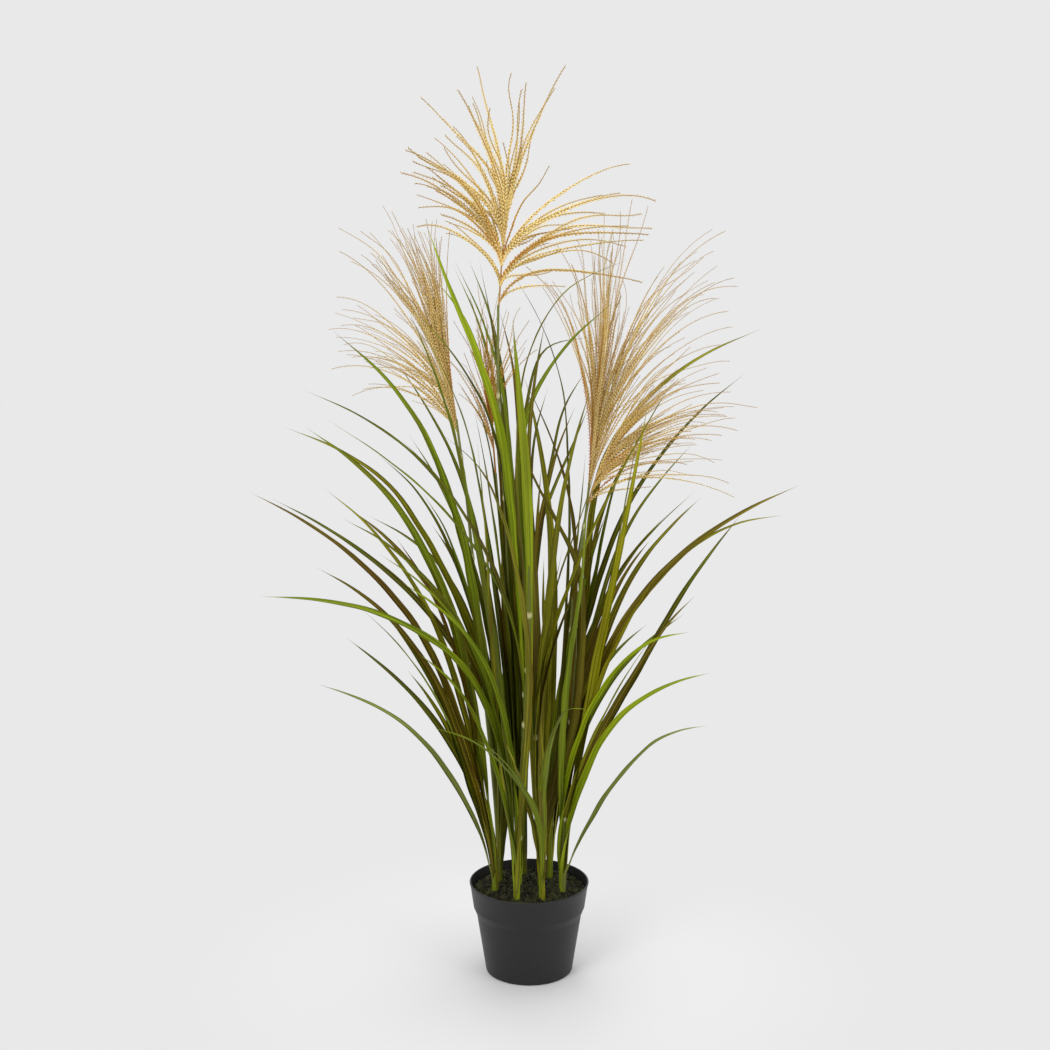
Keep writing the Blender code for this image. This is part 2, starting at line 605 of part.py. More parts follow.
def make_soil():
    corners = [(radius - GAP, z) for radius, z in reversed(pot_inside()[2:])]
    corners[0] = (corners[0][0] - GAP, POT_FLOOR + GAP)
    outline = [(0, POT_FLOOR + GAP)] + corners + [
        (inside_radius(SOIL_TOP) - 2 * GAP, SOIL_TOP),
        (0.6 * RIM_RADIUS, SOIL_TOP + 0.7 * SOIL_MOUND),
        (0, SOIL_TOP + SOIL_MOUND),
    ]
    sockets = []
    for name in SHOOTS:
        foot = shoot_place(name)
        place = Vector((foot[0], foot[1], SOCKET_FLOOR + SOCKET_DEPTH))
        bm = bmesh.new()
        bmesh.ops.create_cone(
            bm, cap_ends=True, segments=SOCKET_SIDES, radius1=SOCKET_RADIUS, radius2=SOCKET_RADIUS,
            depth=2 * SOCKET_DEPTH, matrix=Matrix.Translation(place),
        )
        sockets.append(mesh_from(bm, "socket"))
    body = combined(turned("soil", outline, POT_SIDES), sockets, "DIFFERENCE")
    return add_object("soil", body, plain_material("soil_mix", (0.02, 0.015, 0.01), 0.95))


def plan_runs():
    """Every leaf, culm, rachis and raceme as a run, moved apart where they would touch."""
    slots = leaf_slots()
    leaf_share = np.linspace(0, 1, LEAF_SAMPLES)
    runs, rooms, pieces, homes, holds = [], [], [], [], []
    for index, (shoot, _, widest, _, _, _) in enumerate(LEAVES):
        run = leaf_run(index, slots[index])
        above_soil = run[:, 2] - SOIL_TOP
        runs.append(run)
        rooms.append(0.5 * leaf_widths(widest, leaf_share) + LEAF_ROOM)
        pieces.append(index)
        homes.append(shoot)
        holds.append(smooth(*LEAF_FREE, above_soil))
    for number, plan in enumerate(PLUMES.values()):
        below, above = stalk_runs(plan)
        for run, piece, home in ((below, 100 + number, plan["shoot"]), (above, 200 + number, None)):
            runs.append(run)
            homes.append(home)
            rooms.append(np.full(len(run), STALK_ROOM))
            pieces.append(piece)
            share = np.linspace(0, 1, len(run))
            holds.append(smooth(0, 0.15, share) * smooth(1, 0.8, share) if home else np.zeros(len(run)))
        for place, tip in enumerate(plan["tips"]):
            run = raceme_run(above, tip, 2.4 * place + number, plan["depth"])
            runs.append(run)
            rooms.append(np.full(len(run), RACEME_ROOM))
            pieces.append(200 + number)
            homes.append(None)
            holds.append(smooth(0.05, 0.5, np.linspace(0, 1, len(run))))
    return slots, make_room(runs, rooms, pieces, homes, holds)


def make_leaves(slots, runs):
    materials = {tone: plain_material("leaf_" + tone, colour, 0.5) for tone, colour in TONES.items()}
    for index, (_, tone, widest, turn, _, _) in enumerate(LEAVES):
        name = f"leaf_{index + 1:02d}"
        mesh = leaf_mesh(name, runs[index], widest, slots[index], turn)
        add_object(name, mesh, materials[tone])


def make_stalks(runs):
    culm_material = plain_material("culm", (0.16, 0.18, 0.06), 0.5)
    plume_material = plain_material("plume", (0.60, 0.43, 0.20), 0.7)
    runs = iter(runs)
    for name, plan in PLUMES.items():
        below, above = next(runs), next(runs)
        racemes = [next(runs) for _ in plan["tips"]]
        culm = below[::RING_STEP]
        radii = np.linspace(CULM_FOOT_RADIUS, CULM_TOP_RADIUS, len(culm))
        add_object("culm_" + name, rod_mesh("culm", culm, radii, STALK_SIDES, False), culm_material)
        rachis = above[::2]
        radii = np.linspace(CULM_TOP_RADIUS, RACHIS_TIP_RADIUS, len(rachis))
        stem = rod_mesh("rachis", rachis, radii, STALK_SIDES, False)
        sides = []
        for raceme in racemes:
            rings = raceme[::RACEME_STEP]
            radii = np.linspace(RACEME_RADIUS, RACEME_TIP_RADIUS, len(rings))
            sides.append(rod_mesh("raceme", rings, radii, 3, True))
        add_object("plume_" + name, combined(stem, sides, "UNION"), plume_material)


def main():
    for old in list(bpy.data.objects):
        bpy.data.objects.remove(old)
    make_pot()
    make_soil()
    slots, runs = plan_runs()
    make_leaves(slots, runs[:len(LEAVES)])
    make_stalks(runs[len(LEAVES):])


main()
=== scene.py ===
import json
import math
from itertools import combinations

import bmesh
import bpy
import numpy as np
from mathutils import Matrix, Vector, noise


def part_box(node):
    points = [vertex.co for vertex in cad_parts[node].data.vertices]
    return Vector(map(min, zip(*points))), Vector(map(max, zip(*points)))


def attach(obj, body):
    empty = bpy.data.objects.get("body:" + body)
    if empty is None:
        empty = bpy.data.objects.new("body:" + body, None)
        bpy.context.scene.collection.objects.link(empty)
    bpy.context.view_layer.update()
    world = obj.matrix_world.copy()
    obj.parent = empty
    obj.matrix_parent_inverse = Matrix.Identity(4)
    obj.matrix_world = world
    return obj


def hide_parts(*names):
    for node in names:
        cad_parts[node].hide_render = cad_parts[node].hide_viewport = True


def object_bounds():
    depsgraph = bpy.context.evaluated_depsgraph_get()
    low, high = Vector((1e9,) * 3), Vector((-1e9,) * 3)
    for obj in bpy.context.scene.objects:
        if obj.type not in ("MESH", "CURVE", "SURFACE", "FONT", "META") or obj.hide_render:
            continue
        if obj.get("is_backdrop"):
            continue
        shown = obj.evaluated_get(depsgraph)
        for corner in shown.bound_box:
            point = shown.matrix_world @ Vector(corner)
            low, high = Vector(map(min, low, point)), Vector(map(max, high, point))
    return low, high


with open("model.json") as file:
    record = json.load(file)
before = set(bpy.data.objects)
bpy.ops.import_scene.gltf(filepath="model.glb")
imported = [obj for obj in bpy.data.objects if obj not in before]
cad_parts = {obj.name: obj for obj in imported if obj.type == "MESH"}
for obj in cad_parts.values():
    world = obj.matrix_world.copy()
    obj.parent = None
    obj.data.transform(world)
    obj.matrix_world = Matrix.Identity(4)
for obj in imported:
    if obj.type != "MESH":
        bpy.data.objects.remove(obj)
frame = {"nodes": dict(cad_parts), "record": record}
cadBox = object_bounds()
nodes = frame["nodes"]
slotOf = {part["node"]: part["material_slot"] for part in frame["record"]["subparts"]}
scene = bpy.context.scene
mm = 0.001


# Node trees: a Wire is a socket that can be used in sums

class Wire:
    def __init__(self, desk, socket):
        self.desk = desk
        self.socket = socket

    def maths(self, operation, first, second):
        return self.desk.maths(operation, first, second)

    def __add__(self, other):
        return self.maths("ADD", self, other)

    def __radd__(self, other):
        return self.maths("ADD", other, self)

    def __sub__(self, other):
        return self.maths("SUBTRACT", self, other)

    def __rsub__(self, other):
        return self.maths("SUBTRACT", other, self)

    def __mul__(self, other):
        return self.maths("MULTIPLY", self, other)

    def __rmul__(self, other):
        return self.maths("MULTIPLY", other, self)

    def __mod__(self, other):
        return self.maths("MODULO", self, other)

    def also(self, name):  # another output of the same node
        return Wire(self.desk, self.socket.node.outputs[name])


class Desk:
    def __init__(self, tree):
        self.tree = tree

    def add(self, kind, settings=None, sockets=None, out=0):
        node = self.tree.nodes.new(kind)
        for key, value in (settings or {}).items():
            setattr(node, key, value)
        for key, value in (sockets or {}).items():
            if isinstance(value, Wire):
                self.tree.links.new(value.socket, node.inputs[key])
            else:
                node.inputs[key].default_value = value
        return Wire(self, node.outputs[out]) if node.outputs else None

    def maths(self, operation, first, second):
        return self.add("ShaderNodeMath", dict(operation=operation), {0: first, 1: second})

    def here(self):  # the point's place in the frame
        return self.add("ShaderNodeTexCoord", out="Object")

    def value(self, name):  # a number that the mesh carries
        return self.add("ShaderNodeAttribute", dict(attribute_name=name), out="Fac")

    def place(self, name):  # a position that the mesh carries
        return self.add("ShaderNodeAttribute", dict(attribute_name=name), out="Vector")

    def stretched(self, vector, scale):
        return self.add("ShaderNodeVectorMath", dict(operation="MULTIPLY"), {0: vector, 1: scale})

    def noise(self, vector, scale, detail=2.0, roughness=0.5):
        sockets = {"Vector": vector, "Scale": scale, "Detail": detail, "Roughness": roughness}
        return self.add("ShaderNodeTexNoise", {}, sockets)

    def step(self, value, low, high):  # 0 below low, 1 above high, soft between
        sockets = {"Value": value, "From Min": low, "From Max": high}
        return self.add("ShaderNodeMapRange", dict(interpolation_type="SMOOTHSTEP"), sockets)

    def size(self, value):
        return self.add("ShaderNodeMath", dict(operation="ABSOLUTE"), {0: value})

    def blend(self, share, first, second):  # two colours
        colours = [value if isinstance(value, Wire) else (*value, 1) for value in (first, second)]
        settings = dict(data_type="RGBA", clamp_factor=True)
        return self.add("ShaderNodeMix", settings, {0: share, 6: colours[0], 7: colours[1]}, out=2)

    def bump(self, height, strength, distance):
        sockets = {"Height": height, "Strength": strength, "Distance": distance}
        return self.add("ShaderNodeBump", {}, sockets)


def newMaterial(name):
    material = bpy.data.materials.new(name)
    material.use_nodes = True
    material.node_tree.nodes.clear()
    return material, Desk(material.node_tree)


def scaled(colour, share):
    return [value * share for value in colour]


def finishMaterial(material, desk, sockets):
    shader = desk.add("ShaderNodeBsdfPrincipled", {}, sockets)
    desk.add("ShaderNodeOutputMaterial", {}, {"Surface": shader})
    return material


def newTree(name, inputs, output):  # a Geometry Nodes tree with named inputs
    tree = bpy.data.node_groups.new(name, "GeometryNodeTree")
    for label, kind in inputs.items():
        tree.interface.new_socket(label, in_out="INPUT", socket_type="NodeSocket" + kind)
    tree.interface.new_socket(output, in_out="OUTPUT", socket_type="NodeSocketGeometry")
    return tree, Desk(tree)


def finishTree(desk, grown, finish, output):
    solid = desk.add("GeometryNodeRealizeInstances", {}, {"Geometry": grown})
    finished = desk.add("GeometryNodeSetMaterial", {}, {"Geometry": solid, "Material": finish})
    desk.add("NodeGroupOutput", {}, {output: finished})


# Meshes and objects

def smoothStep(low, high, value):
    t = np.clip((value - low) / (high - low), 0, 1)
    return t * t * (3 - 2 * t)


def smoothRows(rows, shares):  # rows stand at even shares from 0 to 1, and are read between them
    place = np.clip(shares, 0, 1) * (len(rows) - 1)
    low = np.minimum(place.astype(int), len(rows) - 2)
    t = (place - low)[:, None]
    padded = np.vstack([2 * rows[0] - rows[1], rows, 2 * rows[-1] - rows[-2]])
    a, b, c, d = (padded[low + step] for step in range(4))
    return b + 0.5 * ((c - a) * t + (2 * a - 5 * b + 4 * c - d) * t**2 + (3 * b - a - 3 * c + d) * t**3)


def evenly(curve, count):  # the same curve at evenly spaced places
    along = np.concatenate(([0], np.cumsum(np.linalg.norm(np.diff(curve, axis=0), axis=1))))
    wanted = np.linspace(0, along[-1], count)
    return np.stack([np.interp(wanted, along, curve[:, axis]) for axis in range(3)], axis=1)


def unit(rows):
    return rows / np.maximum(np.linalg.norm(rows, axis=-1, keepdims=True), 1e-9)


def curveLength(curve):
    return float(np.linalg.norm(np.diff(curve, axis=0), axis=1).sum())


def giveValues(mesh, values):
    for name, rows in values.items():
        single = rows.ndim == 1
        attribute = mesh.attributes.new(name, "FLOAT" if single else "FLOAT_VECTOR", "POINT")
        attribute.data.foreach_set("value" if single else "vector", rows.astype(np.float32).ravel())


def loftFaces(rings, sides, first=0):  # a tube through the rings, closed below, with a point above
    faces = [[first + side for side in reversed(range(sides))]]
    for low in range(rings - 1):
        for side in range(sides):
            after = (side + 1) % sides
            corner = first + low * sides
            faces.append((corner + side, corner + after, corner + sides + after, corner + sides + side))
    top = first + (rings - 1) * sides
    for side in range(sides):
        faces.append((top + side, top + (side + 1) % sides, first + rings * sides))
    return faces


def closedMesh(name, points, faces, values=None, crease=60):
    mesh = bpy.data.meshes.new(name)
    mesh.from_pydata(points, [], faces)
    giveValues(mesh, values or {})
    bm = bmesh.new()
    bm.from_mesh(mesh)
    bmesh.ops.recalc_face_normals(bm, faces=bm.faces)
    bm.to_mesh(mesh)
    bm.free()
    mesh.shade_smooth()
    mesh.set_sharp_from_angle(angle=math.radians(crease))
    return mesh


def meshFrom(bm, name):
    mesh = bpy.data.meshes.new(name)
    bm.to_mesh(mesh)
    bm.free()
    return mesh


def linked(name, data):
    thing = bpy.data.objects.new(name, data)
    scene.collection.objects.link(thing)
    return thing


def evaluatedMesh(holder):
    return bpy.data.meshes.new_from_object(holder.evaluated_get(bpy.context.evaluated_depsgraph_get()))


def grownMesh(name, source, tree, inputs):  # runs a node tree on a mesh and keeps the plain result
    holder = linked(name, source)
    modifier = holder.modifiers.new("grow", "NODES")
    modifier.node_group = tree
    for item in tree.interface.items_tree:
        if item.in_out == "INPUT" and item.name in inputs:
            modifier[item.identifier] = inputs[item.name]
    result = evaluatedMesh(holder)
    holder.modifiers.clear()
    bpy.data.objects.remove(holder)
    return result


def addPiece(name, mesh, material, slot, replaced=()):
    piece = linked(name, mesh)
    mesh.materials.clear()
    mesh.materials.append(material)
    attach(piece, "root")
    if replaced:
        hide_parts(*replaced)
    return piece


# Reading the frame

def mergedCopy(node):
    bm = bmesh.new()
    bm.from_mesh(nodes[node].data)
    bmesh.ops.remove_doubles(bm, verts=bm.verts, dist=1e-6)
    return bm


def ringsUp(bm, count):  # the rings of vertices of a lofted node, from its foot
    rings = [sorted(bm.verts, key=lambda vertex: vertex.co.z)[:count]]
    seen = set(rings[0])
    while True:
        following = {edge.other_vert(vertex) for vertex in rings[-1] for edge in vertex.link_edges} - seen
        if not following:
            return rings
        seen |= following
        rings.append(list(following))


def readLeaf(node):  # ring by ring: the middle, the direction across, the upper face, half the width
    bm = mergedCopy(node)
    rings = ringsUp(bm, 4)
    left, right = max(combinations(rings[0], 2), key=lambda pair: (pair[0].co - pair[1].co).length)
    rows = []
    for ring in rings[:-1]:
        if rows:
            left, right = (
                next(edge.other_vert(side) for edge in side.link_edges if edge.other_vert(side) in ring)
                for side in (left, right)
            )
        middle = sum((vertex.co for vertex in ring if vertex not in (left, right)), Vector()) / 2
        across = (right.co - left.co) / 2
        face = (left.co + right.co) / 2 - middle
        rows.append([*middle, *across.normalized(), *face.normalized(), across.length])
    rows.append([*rings[-1][0].co, *rows[-1][3:9], 0])
    bm.free()
    return np.array(rows)


# Camera and studio

camera = dict(place=(-0.0056, -2.4, 1.095), pitch=11.25, lens=64.3, sensor=36)
studio = dict(
    pale=(0.815, 0.815, 0.82),
    floorColour=(0.685, 0.685, 0.69),
    floorRadius=9,
    floorClear=(0.05, 0.50),    # where the lit floor starts and ends turning into the plain ground
    lamps=[                     # name, place, where it aims, width, power
        ("key", (-1.5, -2.4, 2.6), (0, 0, 0.65), 1.6, 46),
        ("fill", (2.2, -1.8, 1.5), (0, 0, 0.6), 2.0, 20),
        ("top", (0.3, 0.6, 3.0), (0, 0, 0.6), 1.6, 22),
        ("back", (-0.6, 2.6, 1.8), (0, 0, 0.6), 1.8, 16),
    ],
)


def addCamera():
    data = bpy.data.cameras.new("camera")
    data.lens = camera["lens"]
    data.sensor_width = camera["sensor"]
    holder = linked("camera", data)
    holder.location = camera["place"]
    holder.rotation_euler = (math.radians(90 - camera["pitch"]), 0, 0)
    scene.camera = holder


def addStudio():
    scene.view_settings.view_transform = "Standard"
    world = bpy.data.worlds.new("studio")
    world.use_nodes = True
    sky = world.node_tree.nodes["Background"]
    sky.inputs["Color"].default_value = (*studio["pale"], 1)
    sky.inputs["Strength"].default_value = 1
    scene.world = world
    for name, place, target, size, power in studio["lamps"]:
        data = bpy.data.lights.new(name, "AREA")
        data.shape = "DISK"
        data.size = size
        data.energy = power
        lamp = linked(name, data)
        lamp.location = place
        lamp.rotation_euler = (Vector(target) - Vector(place)).to_track_quat("-Z", "Y").to_euler()


def addFloor():
    bm = bmesh.new()
    bmesh.ops.create_circle(bm, cap_ends=True, segments=96, radius=studio["floorRadius"])
    mesh = meshFrom(bm, "floor")
    material, desk = newMaterial("pale_floor")
    distance = desk.add("ShaderNodeVectorMath", dict(operation="LENGTH"), {0: desk.here()}, out="Value")
    lit = desk.add("ShaderNodeBsdfDiffuse", {}, {"Color": (*studio["floorColour"], 1)})
    plain = desk.add("ShaderNodeEmission", {}, {"Color": (*studio["pale"], 1), "Strength": 1})
    share = desk.step(distance, *studio["floorClear"])
    mixed = desk.add("ShaderNodeMixShader", {}, {0: share, 1: lit, 2: plain})
    desk.add("ShaderNodeOutputMaterial", {}, {"Surface": mixed})
    mesh.materials.append(material)
    linked("floor", mesh)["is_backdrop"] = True


addCamera()
addStudio()
addFloor()
print("camera and studio are ready")


# Pot

pot = dict(
    sides=144,
    bandHeight=34 * mm,
    bandFootRadius=75.5 * mm,
    shoulderRadius=71 * mm,
    shoulderDrop=11.5 * mm,
    heelRadius=59.3 * mm,
    heelHeight=5 * mm,
    baseRadius=57 * mm,
    wall=2.2 * mm,
    floor=3.5 * mm,
    drainRing=38 * mm,
    drainRadius=4.5 * mm,
    drains=4,
    crease=32,                  # degrees; sharper edges stay sharp
    plastic=(0.0120, 0.0118, 0.0117), scuff=1.45, dust=(0.10, 0.095, 0.085),
)
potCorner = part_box("pot")[1]
rimRadius = float(potCorner[0]) + 0.2 * mm       # the solid's lip stops this much short
potHeight = float(potCorner[2])


def potOutline():
    bandFoot = potHeight - pot["bandHeight"]
    shoulder = bandFoot - pot["shoulderDrop"]
    heel, wall, base = pot["heelRadius"], pot["wall"], pot["baseRadius"]
    band, neck = pot["bandFootRadius"], pot["shoulderRadius"]
    lip = rimRadius - wall / 2
    outline = [  # out along the foot, with a shallow groove, and up the wall to the lip
        (0, 0), (base - 9 * mm, 0), (base - 8 * mm, 1.2 * mm), (base - 5.5 * mm, 1.2 * mm),
        (base - 4.5 * mm, 0), (base - 0.8 * mm, 0), (base + 0.4 * mm, 0.3 * mm),
        (base + 1.5 * mm, 1.3 * mm), (base + 2.0 * mm, 2.6 * mm), (heel, pot["heelHeight"]),
        (neck - 0.3 * mm, shoulder - 1.6 * mm), (neck, shoulder),
        (neck + 0.45 * mm, shoulder + 1.4 * mm), (neck + 1.2 * mm, shoulder + 3.0 * mm),
        (band - 1.2 * mm, bandFoot - 3.0 * mm), (band - 0.5 * mm, bandFoot - 1.5 * mm),
        (band - 0.1 * mm, bandFoot - 0.5 * mm), (band, bandFoot + 0.5 * mm),
        (rimRadius - 1.1 * mm, potHeight - 4.2 * mm), (rimRadius - 0.5 * mm, potHeight - 3.4 * mm),
    ]
    outline += [  # the rounded lip
        (lip + math.cos(turn) * wall / 2, potHeight - wall / 2 + math.sin(turn) * wall / 2)
        for turn in np.linspace(-0.3, math.pi, 12)
    ]
    outline += [  # down inside, and in across the floor
        (rimRadius - wall - 0.7 * mm, potHeight - 4 * mm), (band - wall, bandFoot + 0.6 * mm),
        (neck - wall, shoulder + 0.8 * mm), (heel - wall, pot["heelHeight"] + 1.5 * mm),
        (heel - wall - 2 * mm, pot["floor"]), (0, pot["floor"]),
    ]
    return outline


def turnedMesh(name, outline, sides):
    points, rows = [], []
    for radius, z in outline:
        count = sides if radius > 0 else 1
        rows.append(range(len(points), len(points) + count))
        for side in range(count):
            angle = 2 * math.pi * side / count
            points.append((radius * math.cos(angle), radius * math.sin(angle), z))
    faces = []
    for low, high in zip(rows, rows[1:]):
        for side in range(sides):
            corners = [low[side % len(low)], low[(side + 1) % len(low)]]
            corners += [high[(side + 1) % len(high)], high[side % len(high)]]
            faces.append(list(dict.fromkeys(corners)))
    return closedMesh(name, points, faces, crease=pot["crease"])


def withDrains(mesh):
    body = linked("pot_body", mesh)
    radius, ring, floor = pot["drainRadius"], pot["drainRing"], pot["floor"]
    bm = bmesh.new()
    for hole in range(pot["drains"]):
        angle = 2 * math.pi * hole / pot["drains"]
        made = bmesh.ops.create_cone(
            bm, cap_ends=True, segments=32, radius1=radius, radius2=radius, depth=3 * floor
        )
        offset = Vector((ring * math.cos(angle), ring * math.sin(angle), floor / 2))
        bmesh.ops.translate(bm, verts=made["verts"], vec=offset)
    cutter = linked("drains", meshFrom(bm, "drains"))
    cut = body.modifiers.new("drains", "BOOLEAN")
    cut.operation = "DIFFERENCE"
    cut.solver = "EXACT"
    cut.object = cutter
    result = evaluatedMesh(body)
    for used in (body, cutter):
        bpy.data.objects.remove(used)
    result.shade_smooth()
    result.set_sharp_from_angle(angle=math.radians(pot["crease"]))
    return result


def potMaterial():
    material, desk = newMaterial("pot_plastic")
    where = desk.here()
    height = desk.add("ShaderNodeSeparateXYZ", {}, {0: where}, out="Z")
    grain = desk.noise(where, 2600, 3)
    cloud = desk.noise(where, 26, 4)
    dust = desk.step(desk.noise(where, 210, 6, 0.7), 0.55, 0.8)
    flow = desk.noise(desk.stretched(where, (1, 1, 14)), 60, 3)
    low = 1 - desk.step(height, 0.0, 0.035)
    colour = desk.blend(cloud * 0.5 + flow * 0.25, pot["plastic"], scaled(pot["plastic"], pot["scuff"]))
    colour = desk.blend(dust * (0.10 + 0.25 * low), colour, pot["dust"])
    return finishMaterial(material, desk, {
        "Base Color": colour,
        "Roughness": 0.40 + 0.16 * cloud + 0.12 * dust,
        "Specular IOR Level": 0.30,
        "Normal": desk.bump(grain * 0.6 + flow * 0.4, 0.22, 0.0002),
    })


potMesh = withDrains(turnedMesh("nursery_pot", potOutline(), pot["sides"]))
addPiece("nursery_pot", potMesh, potMaterial(), "pot_plastic", ["pot"])
print("the pot is turned")


# Soil

soil = dict(
    rings=46, sides=120,
    lumps=2.6 * mm,
    wallGap=0.5 * mm,
    mound=3.5 * mm,              # how much higher the middle stands
    sink=0.8 * mm,               # how far the bed lies under the solid's top
    waist=(0.88, 70 * mm),       # a share of the radius, and the height it is at
    crumbs=(                     # name, number to a square metre, size, shape and seed
        ("soil_crumbs", 90000, 4.6 * mm, (1.0, 0.85, 0.7), 3),
        ("bark_chips", 32000, 8.0 * mm, (1.3, 0.6, 0.35), 8),
        ("soil_lumps", 17000, 11.0 * mm, (1.0, 0.8, 0.62), 5),
    ),
    bedTone=0.4,
    crumbEdge=0.95,              # crumbs lie within this share of the radius
    dark=(0.0045, 0.004, 0.003), brown=(0.030, 0.024, 0.009), moss=(0.031, 0.037, 0.006),
)
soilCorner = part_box("soil")[1]
soilTop = float(soilCorner[2]) - soil["mound"]
soilRadius = float(soilCorner[0]) - 0.2 * mm


def soilHeight(x, y):
    spread = math.hypot(x, y) / soilRadius
    rough = noise.fractal(Vector((x, y, 0.4)) * 90, 1.0, 2.1, 4) * soil["lumps"]
    return soilTop + soil["mound"] * (1 - spread**2) + rough * (1 - 0.75 * spread**8) - soil["sink"]


def soilMesh():
    points, faces = [(0.0, 0.0, soilHeight(0, 0))], []
    rings, sides = soil["rings"], soil["sides"]
    foot = pot["heelHeight"] + 2 * mm
    footShare = (pot["heelRadius"] - pot["wall"] - soil["wallGap"]) / soilRadius
    circles = [(soilRadius * ring / rings, None) for ring in range(1, rings + 1)]
    waist, waistHeight = soil["waist"]
    circles += [(soilRadius * waist, waistHeight), (soilRadius * footShare, foot)]
    for radius, z in circles:
        for side in range(sides):
            angle = 2 * math.pi * side / sides
            x, y = radius * math.cos(angle), radius * math.sin(angle)
            points.append((x, y, soilHeight(x, y) if z is None else z))
    points.append((0.0, 0.0, foot))
    for side in range(sides):
        after = (side + 1) % sides
        faces.append((0, 1 + side, 1 + after))
        for ring in range(rings + 1):
            corner = 1 + ring * sides
            faces.append((corner + side, corner + sides + side, corner + sides + after, corner + after))
        last = 1 + (rings + 1) * sides
        faces.append((last + after, last + side, len(points) - 1))
    return closedMesh("soil_bed", points, faces, crease=80)


def crumbMesh(shape, seed):
    spread = np.random.default_rng(seed)
    bm = bmesh.new()
    bmesh.ops.create_icosphere(bm, subdivisions=1, radius=0.5)
    for vertex in bm.verts:
        vertex.co *= float(spread.uniform(0.72, 1.2))
        vertex.co = Vector([value * size for value, size in zip(vertex.co, shape)])
    return meshFrom(bm, "crumb")


def scatterTree():
    inputs = dict(
        Ground="Geometry", Crumb="Object", Density="Float", Size="Float", Seed="Int", Finish="Material",
    )
    tree, desk = newTree("scatter_crumbs", inputs, "Crumbs")
    given = desk.add("NodeGroupInput", out="Ground")
    seed = given.also("Seed")
    points = desk.add(
        "GeometryNodeDistributePointsOnFaces", {},
        {"Mesh": given, "Density": given.also("Density"), "Seed": seed},
    )
    shade = desk.add("FunctionNodeRandomValue", dict(data_type="FLOAT"), {"Seed": seed}, out=1)
    marked = desk.add(
        "GeometryNodeStoreNamedAttribute", dict(data_type="FLOAT", domain="POINT"),
        {"Geometry": points, "Name": "crumbTone", "Value": shade},
    )
    turn = desk.add(
        "FunctionNodeRandomValue", dict(data_type="FLOAT_VECTOR"),
        {0: (0, 0, 0), 1: (6.28, 6.28, 6.28), "Seed": seed},
    )
    grown = desk.add(
        "FunctionNodeRandomValue", dict(data_type="FLOAT"), {2: 0.35, 3: 1.25, "Seed": seed}, out=1
    )
    crumb = desk.add("GeometryNodeObjectInfo", {}, {"Object": given.also("Crumb")}, out="Geometry")
    placed = desk.add(
        "GeometryNodeInstanceOnPoints", {},
        {"Points": marked, "Instance": crumb, "Rotation": turn, "Scale": grown * given.also("Size")},
    )
    finishTree(desk, placed, given.also("Finish"), "Crumbs")
    return tree


def soilMaterial():
    material, desk = newMaterial("soil_mix")
    where = desk.here()
    tone = desk.value("crumbTone")
    lumps = desk.noise(where, 420, 6, 0.65)
    patches = desk.noise(where, 55, 4)
    colour = desk.blend(lumps * tone + 0.35 * lumps, soil["dark"], soil["brown"])
    mossy = desk.step(patches * 0.6 + tone * 0.4, 0.52, 0.7)
    colour = desk.blend(mossy * 0.8, colour, soil["moss"])
    return finishMaterial(material, desk, {
        "Base Color": colour,
        "Roughness": 0.92 - 0.22 * lumps,
        "Specular IOR Level": 0.25,
        "Normal": desk.bump(lumps, 0.6, 0.0008),
    })


def openGround(bed):  # the soil's upper face, where crumbs may lie
    bm = bmesh.new()
    bm.from_mesh(bed)
    reach = soil["crumbEdge"] * soilRadius
    hidden = [
        face for face in bm.faces
        if face.normal.z < 0.3 or face.calc_center_median().xy.length > reach
    ]
    bmesh.ops.delete(bm, geom=hidden, context="FACES")
    return meshFrom(bm, "ground")


soilFinish = soilMaterial()
bed = soilMesh()
ground = openGround(bed)
giveValues(bed, {"crumbTone": np.full(len(bed.vertices), soil["bedTone"])})
addPiece("soil_bed", bed, soilFinish, "soil_mix", ["soil"])
scatter = scatterTree()
for name, density, size, shape, seed in soil["crumbs"]:
    crumb = bpy.data.objects.new("crumb", crumbMesh(shape, seed))
    inputs = {"Crumb": crumb, "Density": density, "Size": size, "Seed": seed, "Finish": soilFinish}
    addPiece(name, grownMesh(name, ground, scatter, inputs), soilFinish, "soil_mix")
    bpy.data.objects.remove(crumb)
print("the soil is filled in")


# Leaves

